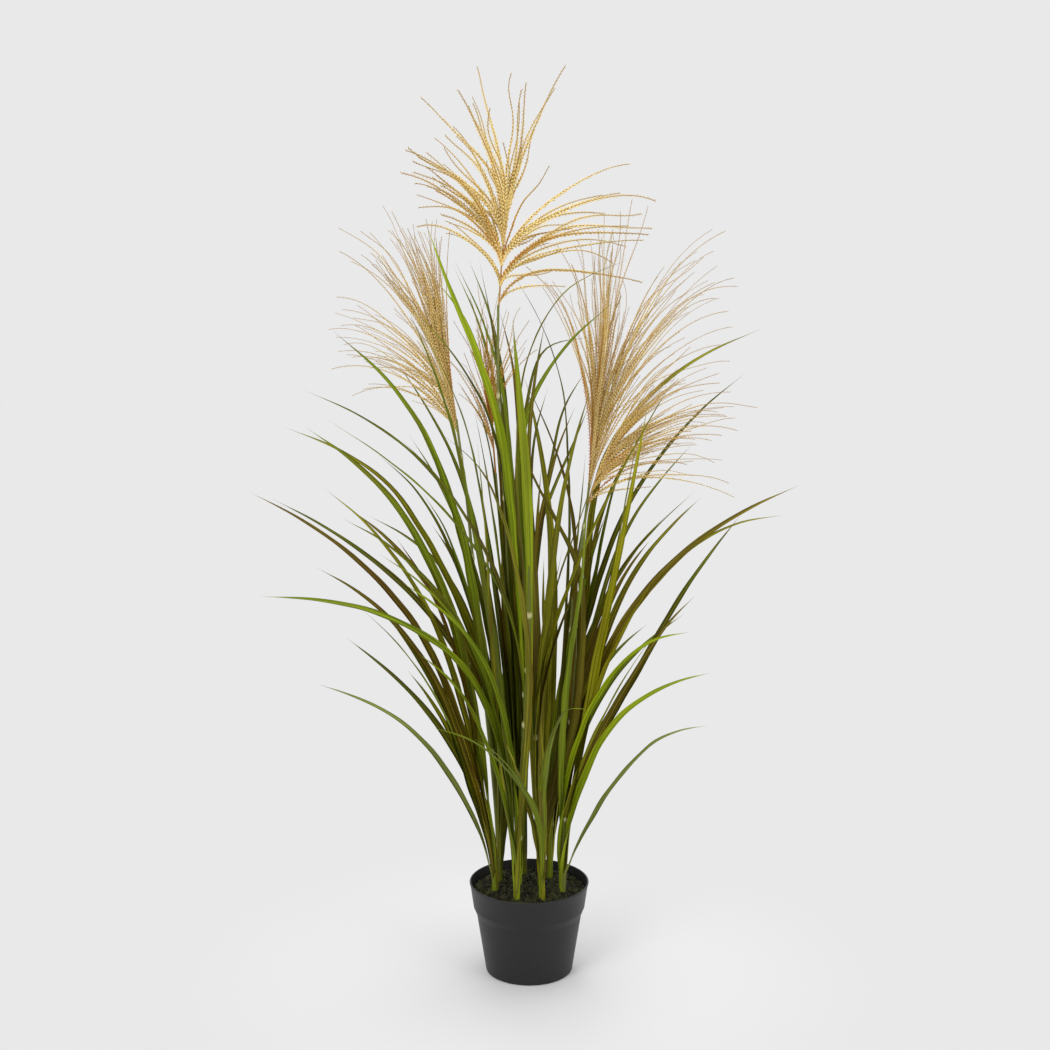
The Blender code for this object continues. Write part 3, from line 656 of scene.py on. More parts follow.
leaf = dict(
    rings=60,
    sections=(-1, -0.62, -0.24, 0, 0.24, 0.62, 1),
    gutter=0.17,
    margin=0.10 * mm,
    skin=0.26 * mm,
    midrib=0.75 * mm,            # how far it stands out below
    groove=0.12 * mm,            # how deep it lies above
    sheathRadius=3.9 * mm,
    sheathReach=1.35,            # how far a sheath goes round its shoot, each way, in radians
    sheathStep=0.42 * mm,        # between the sheaths that lie over each other
    sheathTop=(6 * mm, 46 * mm),
    widening=(1.5, 1.22),        # of the narrowest and the widest blades
    ripple=0.55 * mm,
    rippleLength=75 * mm,
    shootGap=12 * mm,            # feet nearer than this stand in one shoot
    underside=(0.120, 0.130, 0.020), dryTip=(0.150, 0.105, 0.045),
    # leaves that differ in tone, in width or in degrees turned, or are slim up to a share of their length
    special=dict(
        leaf_06=dict(tone="green"),
        leaf_07=dict(tone="green"),
        leaf_08=dict(wider=1.15),
        leaf_10=dict(wider=1.45),
        leaf_13=dict(wider=1.5, turn=-20),
        leaf_16=dict(wider=1.25),
        leaf_17=dict(wider=1.2),
        leaf_18=dict(tone="olive"),
        leaf_19=dict(wider=1.45, turn=-25, slim=0.52),
        leaf_20=dict(wider=1.3, slim=0.5),
        leaf_21=dict(tone="green", wider=1.5),
        leaf_22=dict(wider=1.35),
        leaf_23=dict(wider=1.5),
        leaf_24=dict(wider=1.1, slim=0.60),
        leaf_25=dict(tone="brown"),
        leaf_26=dict(wider=1.2),
        leaf_28=dict(wider=1.25),
        leaf_30=dict(tone="olive"),
        leaf_34=dict(wider=1.1),
        leaf_36=dict(wider=1.15),
        leaf_39=dict(turn=45),
        leaf_41=dict(tone="brown"),
        leaf_44=dict(tone="bright"),
        leaf_46=dict(tone="bright"),
    ),
)
tones = {
    "bright": dict(base=(0.150, 0.215, 0.003), light=(0.360, 0.430, 0.012), flush=(0.115, 0.115, 0.003)),
    "green": dict(base=(0.074, 0.112, 0.002), light=(0.230, 0.290, 0.008), flush=(0.078, 0.052, 0.003)),
    "olive": dict(base=(0.092, 0.094, 0.002), light=(0.290, 0.280, 0.008), flush=(0.085, 0.043, 0.003)),
    "dark": dict(base=(0.048, 0.058, 0.002), light=(0.165, 0.180, 0.006), flush=(0.050, 0.028, 0.003)),
    "brown": dict(base=(0.064, 0.050, 0.002), light=(0.210, 0.165, 0.006), flush=(0.070, 0.030, 0.003)),
    "pale": dict(base=(0.135, 0.165, 0.030), light=(0.250, 0.280, 0.060), flush=(0.100, 0.085, 0.020)),
    "yellow": dict(base=(0.185, 0.185, 0.003), light=(0.400, 0.375, 0.010), flush=(0.130, 0.100, 0.003)),
}
# how far and how strongly the flush covers a blade of each tone
flushing = dict(bright=0.35, green=0.50, olive=0.70, dark=0.65, brown=0.85, pale=0.35, yellow=0.45)


def leafMaterial(tone, look):
    material, desk = newMaterial("leaf_" + tone)
    base, light, flushed = look["base"], look["light"], flushing[tone]
    place = desk.place("bladePlace")              # metres across, metres along, a number for each leaf
    along = desk.value("along")
    under = desk.value("under")
    fromRib = desk.add("ShaderNodeSeparateXYZ", {}, {0: place}, out="X")
    number = fromRib.also("Z")
    height = desk.add("ShaderNodeSeparateXYZ", {}, {0: desk.here()}, out="Z")
    low = 1 - desk.step(height, 0.22, 0.62)       # down in the clump, where painted shade darkens the blades
    veins = desk.noise(desk.stretched(place, (2300, 16, 9)), 1, 2)
    streaks = desk.noise(desk.stretched(place, (520, 7, 5)), 1, 3)
    clouds = desk.noise(desk.stretched(place, (90, 9, 3)), 1, 3)
    pores = desk.noise(desk.stretched(place, (1500, 900, 1)), 1, 2)
    rib = 1 - desk.step(desk.size(fromRib), 0.12 * mm, 0.45 * mm)
    edge = desk.step(desk.size(desk.value("across")), 0.82, 1.0)
    colour = desk.blend(0.25 * veins + desk.step(streaks, 0.42, 0.66) * 0.75, base, light)
    flush = desk.step(clouds + 0.25 * (number % 1.0), 0.66 - 0.22 * flushed, 0.86)
    foot = 1 - desk.step(along, 0.02, 0.16)
    colour = desk.blend(flush * flushed + 0.35 * edge, colour, look["flush"])
    # painted shade: low in the clump the blades are darkened towards 0.74 of their base colour, less where
    # the vein and cloud noise is high
    shaded = desk.step(veins * 0.5 + clouds * 0.5, 0.36, 0.56)
    colour = desk.blend(low * (0.45 - 0.40 * shaded), colour, scaled(base, 0.74))
    # painted highlight: the blade's own streaks are made lighter down in the clump, over the painted shade
    colour = desk.blend(low * desk.step(streaks, 0.50, 0.60) * 0.45, colour, light)
    colour = desk.blend(foot * 0.45, colour, scaled(light, 0.85))
    ribColour = [min(value * 1.35 + 0.03, 1) for value in light]
    colour = desk.blend(rib * (0.55 - 0.3 * under), colour, ribColour)
    colour = desk.blend(under * 0.25, colour, leaf["underside"])
    dry = desk.step(along + 0.05 * (clouds - 0.5), 0.955, 0.995)
    colour = desk.blend(dry * 0.75, colour, leaf["dryTip"])
    return finishMaterial(material, desk, {
        "Base Color": colour,
        "Roughness": 0.46 + 0.14 * streaks + 0.10 * under,
        "Specular IOR Level": 0.10,
        "Normal": desk.bump(veins * 0.7 + pores * 0.3 - rib * 0.8, 0.35, 0.00018),
    })


def bladeRings(rows, seed, sheath):
    # a leaf's points and faces, with what its material reads; sheath is the shoot's middle, a radius
    # round it and the direction in which this leaf leaves it
    spread = np.random.default_rng(seed)
    count = leaf["rings"]
    shares = np.linspace(0, 1, count + 1) ** 0.94
    read = smoothRows(rows, shares)
    middle, across, face, half = read[:, :3], read[:, 3:6], read[:, 6:9], np.maximum(read[:, 9], 0)
    heading = unit(np.gradient(middle, axis=0))
    across = unit(across - heading * (across * heading).sum(axis=1, keepdims=True))
    turned = np.cross(heading, across)
    face = turned * np.sign((turned * face).sum(axis=1, keepdims=True) + 1e-9)
    half[0] = half[1]
    half *= 1 + 0.04 * np.sin(2 * math.pi * (3.3 * shares + spread.random()))
    half *= np.clip((1 - shares) / 0.06, 0, 1) ** 0.6
    narrow, wide = leaf["widening"]
    half *= narrow + (wide - narrow) * np.clip((half.max() - 3 * mm) / (4 * mm), 0, 1)
    length = curveLength(middle)
    metres = shares * length
    number = seed * 0.37                          # sets each leaf's pattern apart
    phase, phaseTwo = spread.random(2) * 2 * math.pi
    wave = leaf["ripple"] * smoothStep(0.12, 0.5, shares) * (half / (6 * mm))
    left = wave * np.sin(2 * math.pi * metres / leaf["rippleLength"] + phase)
    right = wave * np.sin(2 * math.pi * metres / (0.8 * leaf["rippleLength"]) + phaseTwo)
    fold = leaf["gutter"] * 2 * half * (1.15 - 0.5 * smoothStep(0.4, 0.95, shares))
    low = leaf["sections"][::-1][1:-1]
    sections = [(u, 0) for u in leaf["sections"]] + [(u, 1) for u in low]
    centre, radius, leaving = sheath
    above = middle[:, 2] - soilTop
    wrap = (1 - smoothStep(*leaf["sheathTop"], above))[:, None]
    thin = np.clip(half / (4 * mm), 0.15, 1)
    rings, places = [], []
    for u, under in sections:
        depth = leaf["margin"] if abs(u) == 1 else leaf["skin"]
        drop = (leaf["midrib"] if u == 0 else depth) * thin * under
        if u == 0 and not under:
            drop = leaf["groove"] * thin
        lift = fold * abs(u) ** 1.25 + np.where(u < 0, left, right) * abs(u) ** 2 - drop
        flat = middle + across * (u * half * (1 - 0.06 * abs(u)))[:, None] + face * lift[:, None]
        turn = leaving + u * leaf["sheathReach"]
        away = np.array((math.cos(turn), math.sin(turn), 0))
        ring = np.array((*centre, 0)) + away * (radius + under * leaf["skin"])
        rolled = np.repeat(ring[None], len(middle), axis=0)
        rolled[:, 2] = middle[:, 2]
        rings.append(flat * (1 - wrap) + rolled * wrap)
        places.append(np.stack([u * half, metres, np.full(len(metres), number)], axis=1))
    points = np.vstack([np.stack(rings, axis=1)[:-1].reshape(-1, 3), middle[-1:]])
    place = np.vstack([np.stack(places, axis=1)[:-1].reshape(-1, 3), [[0, length, number]]])
    values = {
        "bladePlace": place,
        "under": np.append(np.tile([float(under) for _, under in sections], count), 0),
        "across": np.append(np.tile([float(u) for u, _ in sections], count), 0),
        "along": np.append(np.repeat(shares[:-1], len(sections)), 1),
    }
    return points, loftFaces(count, len(sections)), values


leafNames = sorted(name for name in nodes if name.startswith("leaf_"))
leafRows = {name: readLeaf(name) for name in leafNames}
shoots = []                      # each is the names of the leaves that stand together
for name in leafNames:
    foot = leafRows[name][0, :2]
    near = [
        group for group in shoots
        if any(math.dist(foot, leafRows[other][0, :2]) < leaf["shootGap"] for other in group)
    ]
    joined = [name] + [other for group in near for other in group]
    shoots = [group for group in shoots if group not in near] + [joined]
shootMiddle = {}
for group in shoots:
    middle = np.mean([leafRows[name][0, :2] for name in group], axis=0)
    shootMiddle.update((name, middle) for name in group)


def sheathOf(name, order):
    middle = shootMiddle[name]
    foot = leafRows[name][0, :2] - middle
    radius = leaf["sheathRadius"] + leaf["sheathStep"] * (order % 4 - 1.5)
    return middle, radius, math.atan2(foot[1], foot[0])


def twisted(across, face, degrees):  # a blade turns on its way up from its sheath
    shares = np.linspace(0, 1, len(across))
    angle = (math.radians(degrees) * smoothStep(0.05, 0.4, shares))[:, None]
    return (
        np.cos(angle) * across - np.sin(angle) * face,
        np.sin(angle) * across + np.cos(angle) * face,
    )


def specialRows(rows, wider=1.0, turn=0, slim=0):
    rows = rows.copy()
    rows[:, 9] *= wider
    if slim:
        rows[:, 9] *= 0.40 + 0.60 * smoothStep(slim - 0.06, slim + 0.16, np.linspace(0, 1, len(rows)))
    rows[:, 3:6], rows[:, 6:9] = twisted(rows[:, 3:6], rows[:, 6:9], turn)
    return rows


leafFinish = {tone: leafMaterial(tone, look) for tone, look in tones.items()}
for order, name in enumerate(leafNames):
    special = dict(leaf["special"].get(name, {}))
    tone = special.pop("tone", slotOf[name].replace("leaf_", ""))
    rows = specialRows(leafRows[name], **special)
    points, faces, values = bladeRings(rows, order + 1, sheathOf(name, order))
    mesh = closedMesh(name.replace("leaf", "blade"), points, faces, values)
    addPiece(mesh.name, mesh, leafFinish[tone], slotOf[name], [name])
print("the leaves are grown:", len(leafNames), "in", len(shoots), "shoots")


# Inner leaves: more blades that stand among the frame's own, joined into one piece for each tone

innerLeaf = dict(
    perShoot=4,
    samples=10,
    footRadius=2.2 * mm,
    collar=18 * mm,
    reach=(0.72, 1.02),
    widths=(7.5, 12.5),
    tones=("dark", "olive", "green", "brown", "olive", "brown", "green", "olive"),
    neckWidth=4, swell=(0.08, 0.38), taper=0.52,     # mm, and shares of the length
    placedSheath=3.1 * mm, mixedSheath=2.6 * mm,
    tipsApart=0.42,              # leaves whose tips are further apart aren't mixed
    stray=(9, 16, 7),            # mm that a mixed leaf's tip moves away in x, y and z
    # a leaf of the same shoot, tone, width in mm, degrees turned, places passed (x, z) and tip in cm
    placed=[
        ("leaf_45", "green", 8, 40, [(7, 32.5), (11.5, 41.5)], (16.5, 12, 45.5)),
        ("leaf_37", "yellow", 10, 20, [(3, 38.5), (2, 48)], (2, 8, 56)),
        ("leaf_34", "olive", 12, 20, [(2, 39.5), (4, 55.5), (7, 64.5)], (9, -5, 72.5)),
        ("leaf_39", "green", 13, 15, [(4.5, 31), (5.5, 47), (6.5, 55.5)], (7, -15, 68)),
        ("leaf_10", "olive", 14, 15, [(-4, 31.5), (-5, 48), (-5.5, 61.5)], (-6.5, -10, 74.5)),
        ("leaf_13", "brown", 14, 10, [(-2, 32.5), (-2.5, 51.5), (-3.5, 65)], (-4, 2, 78)),
        ("leaf_26", "brown", 13, 12, [(1.2, 30), (0.6, 46), (0.8, 58)], (1.6, 4, 69)),
        ("leaf_21", "olive", 13, 10, [(-1.6, 33), (-3.2, 50), (-3.4, 62)], (-4.6, 9, 73)),
        ("leaf_07", "olive", 12, 25, [(2.2, 27), (1.4, 43), (2.6, 52)], (4.2, -10, 61)),
        ("leaf_01", "brown", 11, 30, [(-6.5, 27), (-9, 43), (-12.5, 54)], (-17, -8, 62)),
        ("leaf_06", "green", 12, 30, [(-3, 24), (-6, 36), (-9.5, 44)], (-14, -16, 49)),
        ("leaf_41", "olive", 12, 30, [(6.2, 27), (9, 41), (12.5, 50)], (16.5, -9, 58)),
    ],
)


def halfWidths(width, count):  # narrow at the sheath, full above it, with a long fine tip
    neck, shares = innerLeaf["neckWidth"], np.linspace(0, 1, count)
    swelling = 0.5 * (neck + (width - neck) * smoothStep(*innerLeaf["swell"], shares))
    return swelling * np.clip((1 - shares) / innerLeaf["taper"], 0, 1) ** 0.75 * mm


def grownRows(foot, ways, tip, width, turn):  # a leaf of its own, laid out like the ones that are read
    collar = np.array((*foot, soilTop + innerLeaf["collar"]))
    flat = [(foot[0], collar[2])] + [(x / 100, z / 100) for x, z in ways] + [(tip[0] / 100, tip[2] / 100)]
    along = np.concatenate(([0], np.cumsum([math.dist(a, b) for a, b in zip(flat, flat[1:])])))
    depth = foot[1] + (tip[1] / 100 - foot[1]) * (along / along[-1]) ** 1.5
    run = np.array([(*foot, soilTop - 20 * mm)] + [(x, y, z) for (x, z), y in zip(flat, depth)])
    knots = np.concatenate(([0], np.cumsum(np.linalg.norm(np.diff(run, axis=0), axis=1))))
    fine = np.linspace(0, knots[-1], 120)
    slopes = np.gradient(run, knots, axis=0)
    low = np.clip(np.searchsorted(knots, fine, side="right") - 1, 0, len(run) - 2)
    high = low + 1
    span = (knots[high] - knots[low])[:, None]
    t = (fine[:, None] - knots[low][:, None]) / span
    curve = (
        (2 * t**3 - 3 * t**2 + 1) * run[low] + (t**3 - 2 * t**2 + t) * span * slopes[low]
        + (3 * t**2 - 2 * t**3) * run[high] + (t**3 - t**2) * span * slopes[high]
    )
    middle = evenly(curve, innerLeaf["samples"] + 1)
    heading = unit(np.gradient(middle, axis=0))
    leaving = math.atan2(middle[-1, 1] - foot[1], middle[-1, 0] - foot[0])
    across = np.tile((-math.sin(leaving), math.cos(leaving), 0), (len(middle), 1))
    across = unit(across - heading * (across * heading).sum(axis=1, keepdims=True))
    degrees = (turn + 25) * (1 if math.cos(leaving) <= 0 else -1)
    across, face = twisted(across, np.cross(heading, across), degrees)
    return np.column_stack((middle, across, face, halfWidths(width, len(middle))))


def mixedRows(first, second, mix, reach, width):  # a leaf between two, cut to a share of their length
    rows = leafRows[first] * (1 - mix) + leafRows[second] * mix
    rows[:, 3:6], rows[:, 6:9] = unit(rows[:, 3:6]), unit(rows[:, 6:9])
    rows = smoothRows(rows, np.linspace(0, 1, len(rows)) * reach)
    rows[:, 9] = halfWidths(width, len(rows))
    return rows


innerRows = {}                   # for each tone, the rows of its blades and where each one's sheath stands
for order, (beside, tone, width, turn, ways, tip) in enumerate(innerLeaf["placed"]):
    angle = 2.4 * order
    middle = shootMiddle[beside]
    foot = middle + innerLeaf["footRadius"] * np.array((math.cos(angle), math.sin(angle)))
    rows = grownRows(foot, ways, tip, width, turn)
    innerRows.setdefault(tone, []).append((rows, (middle, innerLeaf["placedSheath"], angle)))
spread = np.random.default_rng(11)
for group in shoots:
    ordered = sorted(group, key=lambda name: math.atan2(*(leafRows[name][5, :2] - shootMiddle[name])))
    for place in range(min(innerLeaf["perShoot"], len(ordered))):
        pick = int(spread.integers(len(ordered)))
        first, second = ordered[pick], ordered[(pick + 1) % len(ordered)]
        if math.dist(leafRows[first][-1, :3], leafRows[second][-1, :3]) > innerLeaf["tipsApart"]:
            second = first
        mix = spread.uniform(0.3, 0.7)
        reach, width = spread.uniform(*innerLeaf["reach"]), spread.uniform(*innerLeaf["widths"])
        rows = mixedRows(first, second, mix, reach, width)
        away = np.linspace(0, 1, len(rows))[:, None] * spread.normal(0, 1, 3)
        rows[:, :3] += away * np.array(innerLeaf["stray"]) * mm
        tone = innerLeaf["tones"][int(spread.integers(len(innerLeaf["tones"])))]
        sheath = (shootMiddle[first], innerLeaf["mixedSheath"], spread.uniform(0, 6.28))
        innerRows.setdefault(tone, []).append((rows, sheath))
for order, (tone, blades) in enumerate(sorted(innerRows.items())):
    points, faces, values = [], [], {}
    for place, (rows, sheath) in enumerate(blades):
        bladePoints, bladeFaces, bladeValues = bladeRings(rows, 100 + 20 * order + place, sheath)
        first = sum(len(part) for part in points)
        points.append(bladePoints)
        faces += [[first + corner for corner in face] for face in bladeFaces]
        for key, row in bladeValues.items():
            values.setdefault(key, []).append(row)
    joined = {key: np.concatenate(rows) for key, rows in values.items()}
    mesh = closedMesh("inner_blades_" + tone, np.vstack(points), faces, joined)
    addPiece(mesh.name, mesh, leafFinish[tone], "leaf_" + tone)
print("inner leaves stand:", sum(len(blades) for blades in innerRows.values()))


# Culms

culm = dict(
    sides=14, rings=260,
    sink=3 * mm,                     # how far its top stands inside the plume
    jointStep=0.135, jointRise=0.38, jointWidth=5.5 * mm,
    firstJoint=0.05, firstStep=0.027,            # each culm's first joint is higher than the last one's
    # heights between which the leaf sheaths round a culm thin out, and how much they add to its radius
    sheathed=(0.30, 0.66), sheathGrowth=1.0,
    # leafless shoots: the leaf each one follows, the share it reaches, radius in mm, first joint and step
    canes=[
        ("leaf_24", 0.60, 3.3, 0.205, 0.080),
        ("leaf_16", 0.42, 2.5, 0.115, 0.105),
        ("leaf_12", 0.50, 2.4, 0.105, 0.115),
        ("leaf_43", 0.42, 2.6, 0.080, 0.110),
        ("leaf_36", 0.40, 2.6, 0.150, 0.120),
    ],
    caneSamples=24,
    green=(0.095, 0.110, 0.010), grey=(0.150, 0.165, 0.050), streak=(0.200, 0.220, 0.030),
    pale=(0.560, 0.520, 0.260), flush=(0.080, 0.050, 0.020),
)


def tubeRings(middle, radii, sides):
    heading = unit(np.gradient(middle, axis=0))
    across = np.cross(heading[0], (0, -1.0, 0))
    turns = np.linspace(0, 2 * math.pi, sides, endpoint=False)[:, None]
    rings = []
    for place, ahead, radius in zip(middle, heading, radii):
        across = unit(across - ahead * np.dot(across, ahead))
        other = np.cross(ahead, across)
        rings.append(place + radius * (np.cos(turns) * across + np.sin(turns) * other))
    return np.array(rings)


def readCulm(node):  # its middle line and radius, from its foot
    bm = mergedCopy(node)
    rings = [np.array([vertex.co[:] for vertex in ring]) for ring in ringsUp(bm, 5)]
    bm.free()
    middle = np.array([ring.mean(axis=0) for ring in rings])
    radius = np.array([np.linalg.norm(ring - ring.mean(axis=0), axis=1).mean() for ring in rings])
    return np.column_stack((middle, radius))


def jointAt(metres, offset, step):  # 1 in the middle of each joint of a culm
    away = np.abs((metres - offset + step / 2) % step - step / 2)
    width = culm["jointWidth"]
    return (1 - smoothStep(0.35 * width, width, away)) * (metres > offset - step / 2)


def stemMesh(name, rows, offset, step, sheathGrowth=0, ripe=0.4):  # ripe is how far its top turns grey
    count, sides = culm["rings"], culm["sides"]
    read = smoothRows(rows, np.linspace(0, 1, count))
    middle, radius = evenly(read[:, :3], count), read[:, 3]
    ahead = unit(middle[-1] - middle[-2])
    middle[-1] += ahead * culm["sink"]
    metres = np.linspace(0, curveLength(middle), count)
    joint = jointAt(metres, offset, step)
    sheathing = 1 - smoothStep(*culm["sheathed"], middle[:, 2])
    radius = radius * (1 + culm["jointRise"] * joint + sheathGrowth * sheathing)
    points = tubeRings(middle, radius, sides).reshape(-1, 3)
    points = np.vstack([points, middle[-1] + ahead * radius[-1] * 0.5])
    values = {
        "metres": np.append(np.repeat(metres, sides), metres[-1]),
        "joint": np.append(np.repeat(joint, sides), 0),
        "along": np.append(np.repeat(np.linspace(0, ripe, count), sides), ripe),
    }
    return closedMesh(name, points, loftFaces(count, sides), values)


def culmMaterial():
    material, desk = newMaterial("culm")
    where, joint, along = desk.here(), desk.value("joint"), desk.value("along")
    streaks = desk.noise(desk.stretched(where, (1400, 1400, 22)), 1, 3)
    clouds = desk.noise(desk.stretched(where, (60, 60, 14)), 1, 3)
    colour = desk.blend(desk.step(along, 0.3, 0.9), culm["green"], culm["grey"])
    colour = desk.blend(streaks * 0.5, colour, culm["streak"])
    colour = desk.blend(desk.step(clouds, 0.5, 0.75) * 0.6, colour, culm["flush"])
    colour = desk.blend(joint * 0.8, colour, culm["pale"])
    return finishMaterial(material, desk, {
        "Base Color": colour,
        "Roughness": 0.42 + 0.2 * streaks,
        "Specular IOR Level": 0.20,
        "Normal": desk.bump(streaks, 0.3, 0.0001),
    })


culmFinish = culmMaterial()
culmNames = sorted(name for name in nodes if name.startswith("culm_"))
for order, name in enumerate(culmNames):
    offset = culm["firstJoint"] + culm["firstStep"] * order
    mesh = stemMesh(
        name.replace("culm", "stem"), readCulm(name), offset, culm["jointStep"], culm["sheathGrowth"], 1
    )
    addPiece(mesh.name, mesh, culmFinish, "culm", [name])
for order, (name, share, radius, offset, step) in enumerate(culm["canes"]):
    shares = np.linspace(0, 1, culm["caneSamples"])
    middle = smoothRows(leafRows[name], np.linspace(0, share, len(shares)))[:, :3]
    middle[:, :2] += (shootMiddle[name] - middle[0, :2]) * (1 - shares[:, None])
    radii = radius * mm * np.interp(shares, (0, 0.9, 1), (1.15, 0.85, 0.35))
    mesh = stemMesh(f"cane_{order + 1}", np.column_stack((middle, radii)), offset, step)
    addPiece(mesh.name, mesh, culmFinish, "culm")
print("the culms stand:", len(culmNames), "with", len(culm["canes"]), "short canes")


# Plumes: every branch is a run of points, and a node tree sets two rows of spikelets along it

plume = dict(
    branchPoints=30,
    spikeletSides=4,
    nodes=7,                         # heights of the stem at which branches leave it
    climb=0.40,                      # how far up its length a branch still follows the stem
    stemRadii=(1.5 * mm, 0.5 * mm),
    stemBare=(0.35, 0.6),            # shares of the stem between which spikelets begin
    thread=0.55 * mm, threadSides=5,
    resample=400,
    # between and core count the branches added among the ones read and close along the stem; spacing
    # and tilt, in degrees, set the spikelets, width and length are theirs in mm; warm is how far from
    # cream to golden; drop is how much lower a branch leaves the stem than it seems to; below is how
    # far the stem goes down in its culm; wander is a branch's stray for its length; foot is how thick
    # it starts
    top=dict(
        between=34, core=14, spacing=2.4 * mm, width=1.75, length=5.6, tilt=31,
        warm=0.12, drop=0.30, below=24 * mm, wander=0.034, foot=0.85,
    ),
    left=dict(
        between=68, core=30, spacing=2.2 * mm, width=0.95, length=4.5, tilt=30,
        warm=0.28, drop=0.75, below=45 * mm, wander=0.022, foot=0.6,
    ),
    back_left=dict(
        between=26, core=12, spacing=2.2 * mm, width=0.85, length=4.4, tilt=23,
        warm=0.90, drop=0.4, below=20 * mm, wander=0.025, foot=0.6,
    ),
    right_front=dict(
        between=48, core=26, spacing=2.2 * mm, width=1.0, length=4.4, tilt=27,
        warm=0.35, drop=0.5, below=12 * mm, wander=0.020, foot=0.7,
    ),
    right_back=dict(
        between=58, core=24, spacing=2.2 * mm, width=0.95, length=4.5, tilt=30,
        warm=0.34, drop=0.85, below=85 * mm, wander=0.022, foot=0.6,
    ),
    warmthSpread=0.32,
    cream=(0.850, 0.685, 0.290), golden=(0.660, 0.425, 0.090), amber=(0.520, 0.190, 0.030),
    # tip is the tips' own colour; the next one is painted shade on each husk's inner side, near its foot
    tip=(0.350, 0.260, 0.140), fleck=(0.250, 0.105, 0.020),
)


def readPlume(node):  # the stem's middle line from its foot, and its branches from the stem to their tips
    bm = mergedCopy(node)
    ends, used = [], set()
    for apex in bm.verts:
        first = [edge.other_vert(apex) for edge in apex.link_edges]
        second = {edge.other_vert(vertex) for vertex in first for edge in vertex.link_edges}
        second -= {apex, *first}
        if len(first) != 3 or len(second) != 3:
            continue
        near, far = (sum((vertex.co for vertex in ring), Vector()) / 3 for ring in (first, second))
        if (apex.co - near).length > 8 * mm:
            ends.append(np.array([far[:], near[:], apex.co[:]]))
            used |= {apex, *first, *second}
    core = np.array([vertex.co[:] for vertex in bm.verts if vertex not in used])
    bm.free()
    heights = np.linspace(core[:, 2].min(), core[:, 2].max(), 60)
    sides = [np.polyval(np.polyfit(core[:, 2], core[:, axis], 3), heights) for axis in (0, 1)]
    stem = np.stack([*sides, heights], 1)
    branches = []                # each has its share of the stem, a place near its tip, and its tip
    for far, near, tip in ends:
        step = np.linalg.norm(near - far)
        behind = np.linalg.norm(stem - (2 * far - near), axis=1)
        miss = np.abs(np.linalg.norm(stem - far, axis=1) - step) + 0.4 * behind
        branches.append((miss.argmin() / (len(stem) - 1), near, tip))
    return stem, branches


def longerStem(stem, branches, name, below):  # the stem drawn on down inside its culm
    line = evenly(readCulm(name.replace("plume", "culm"))[:, :3], plume["resample"])
    foot = stem[0][2]
    added = line[(line[:, 2] > foot - below - 4 * mm) & (line[:, 2] < foot - 2 * mm)]
    longer = np.vstack([added, stem])
    start = 1 - curveLength(stem) / curveLength(longer)
    return evenly(longer, len(stem)), [(start + (1 - start) * share, *rest) for share, *rest in branches]


def branchRun(stem, share, near, tip, spread, plan, lean=1.0):
    # a branch leaves the stem lower than it seems to, climbs beside it and then bends out to its tip
    ahead = unit(stem[-1] - stem[0])
    low = share * (1 - plan["drop"] * spread.uniform(0.4, 1.0))
    low = min(round(low * plume["nodes"]) / plume["nodes"] + spread.uniform(0, 0.04), 0.96)
    start = stem[int(low * (len(stem) - 1))]
    reach = tip - start
    length = np.linalg.norm(reach)
    out = unit(tip - near)
    rise = (ahead * 0.75 + unit(reach) * 0.25) * length
    first = start + rise * plume["climb"] * spread.uniform(0.75, 1.1)
    second = tip - out * length * 0.30 * spread.uniform(0.7, 1.2)
    t = np.linspace(0, 1, 60)[:, None]
    run = (1 - t)**3 * start + 3 * (1 - t)**2 * t * first + 3 * (1 - t) * t**2 * second + t**3 * tip
    aside = unit(np.cross(out, spread.normal(0, 1, 3)))
    wave = np.sin(2 * math.pi * (t * spread.uniform(0.8, 1.8) + spread.random())) * t
    run = run + aside * wave * length * plan["wander"] * lean
    return evenly(run, plume["branchPoints"])


def allBranches(stem, branches, plan, spread):
    tips = np.array([tip for *_, tip in branches])
    runs = [branchRun(stem, *branch, spread, plan) for branch in branches]
    grown = [1.0] * len(runs)
    for place in range(plan["between"] + plan["core"]):
        first = spread.integers(len(branches))
        second = spread.choice(np.argsort(np.linalg.norm(tips - tips[first], axis=1))[1:5])
        mix = spread.uniform(0.2, 0.8)
        share, near, tip = (a * (1 - mix) + b * mix for a, b in zip(branches[first], branches[second]))
        shift = spread.normal(0, 1, 3) * np.array((6, 15, 6)) * mm
        tip, near = tip + shift, near + 0.6 * shift
        if place >= plan["between"]:  # close along the stem
            squeeze = spread.uniform(0.25, 0.6)
            line = stem[-1] - stem[0]
            foot = stem[0] + line * ((tip[2] - stem[0][2]) / line[2])
            tip, near = foot + (tip - foot) * squeeze, foot + (near - foot) * squeeze * 0.8
            tip[2] -= spread.uniform(0, 0.25) * (tip[2] - stem[0][2])
            near[2] = min(near[2], tip[2] - 20 * mm)
        run = branchRun(stem, share, near, tip, spread, plan, 1.6)
        runs.append(evenly(run[:int(len(run) * spread.uniform(0.72, 1.0))], plume["branchPoints"]))
        grown.append(spread.uniform(0.8, 1.0))
    return runs, grown


def spikeletMesh(width, length):  # a slim husk, along +Z, leaning out to +X at its tip; sizes in mm
    sides = plume["spikeletSides"]
    outline = ((0.55, 0.0, 0.08), (1.0, 0.42, 0.22))    # half width, height and lean, as shares
    points, grain = [], []
    for radius, height, lean in outline:
        for side in range(sides):
            turn = 2 * math.pi * (side + 0.5) / sides
            outwards = math.cos(turn)
            points.append((
                (lean * length * 0.35 + 0.7 * radius * width * outwards) * mm,
                radius * width * math.sin(turn) * mm, height * length * mm,
            ))
            # low on the husk's inner side at its foot, where the material paints shade, and high on its
            # outer side
            grain.append(0.5 + 0.5 * outwards * (1 - height) + 0.3 * height)
    points.append((0.17 * length * mm, 0, length * mm))
    grain.append(0.55)
    return closedMesh("spikelet", points, loftFaces(len(outline), sides), {"grain": np.array(grain)})


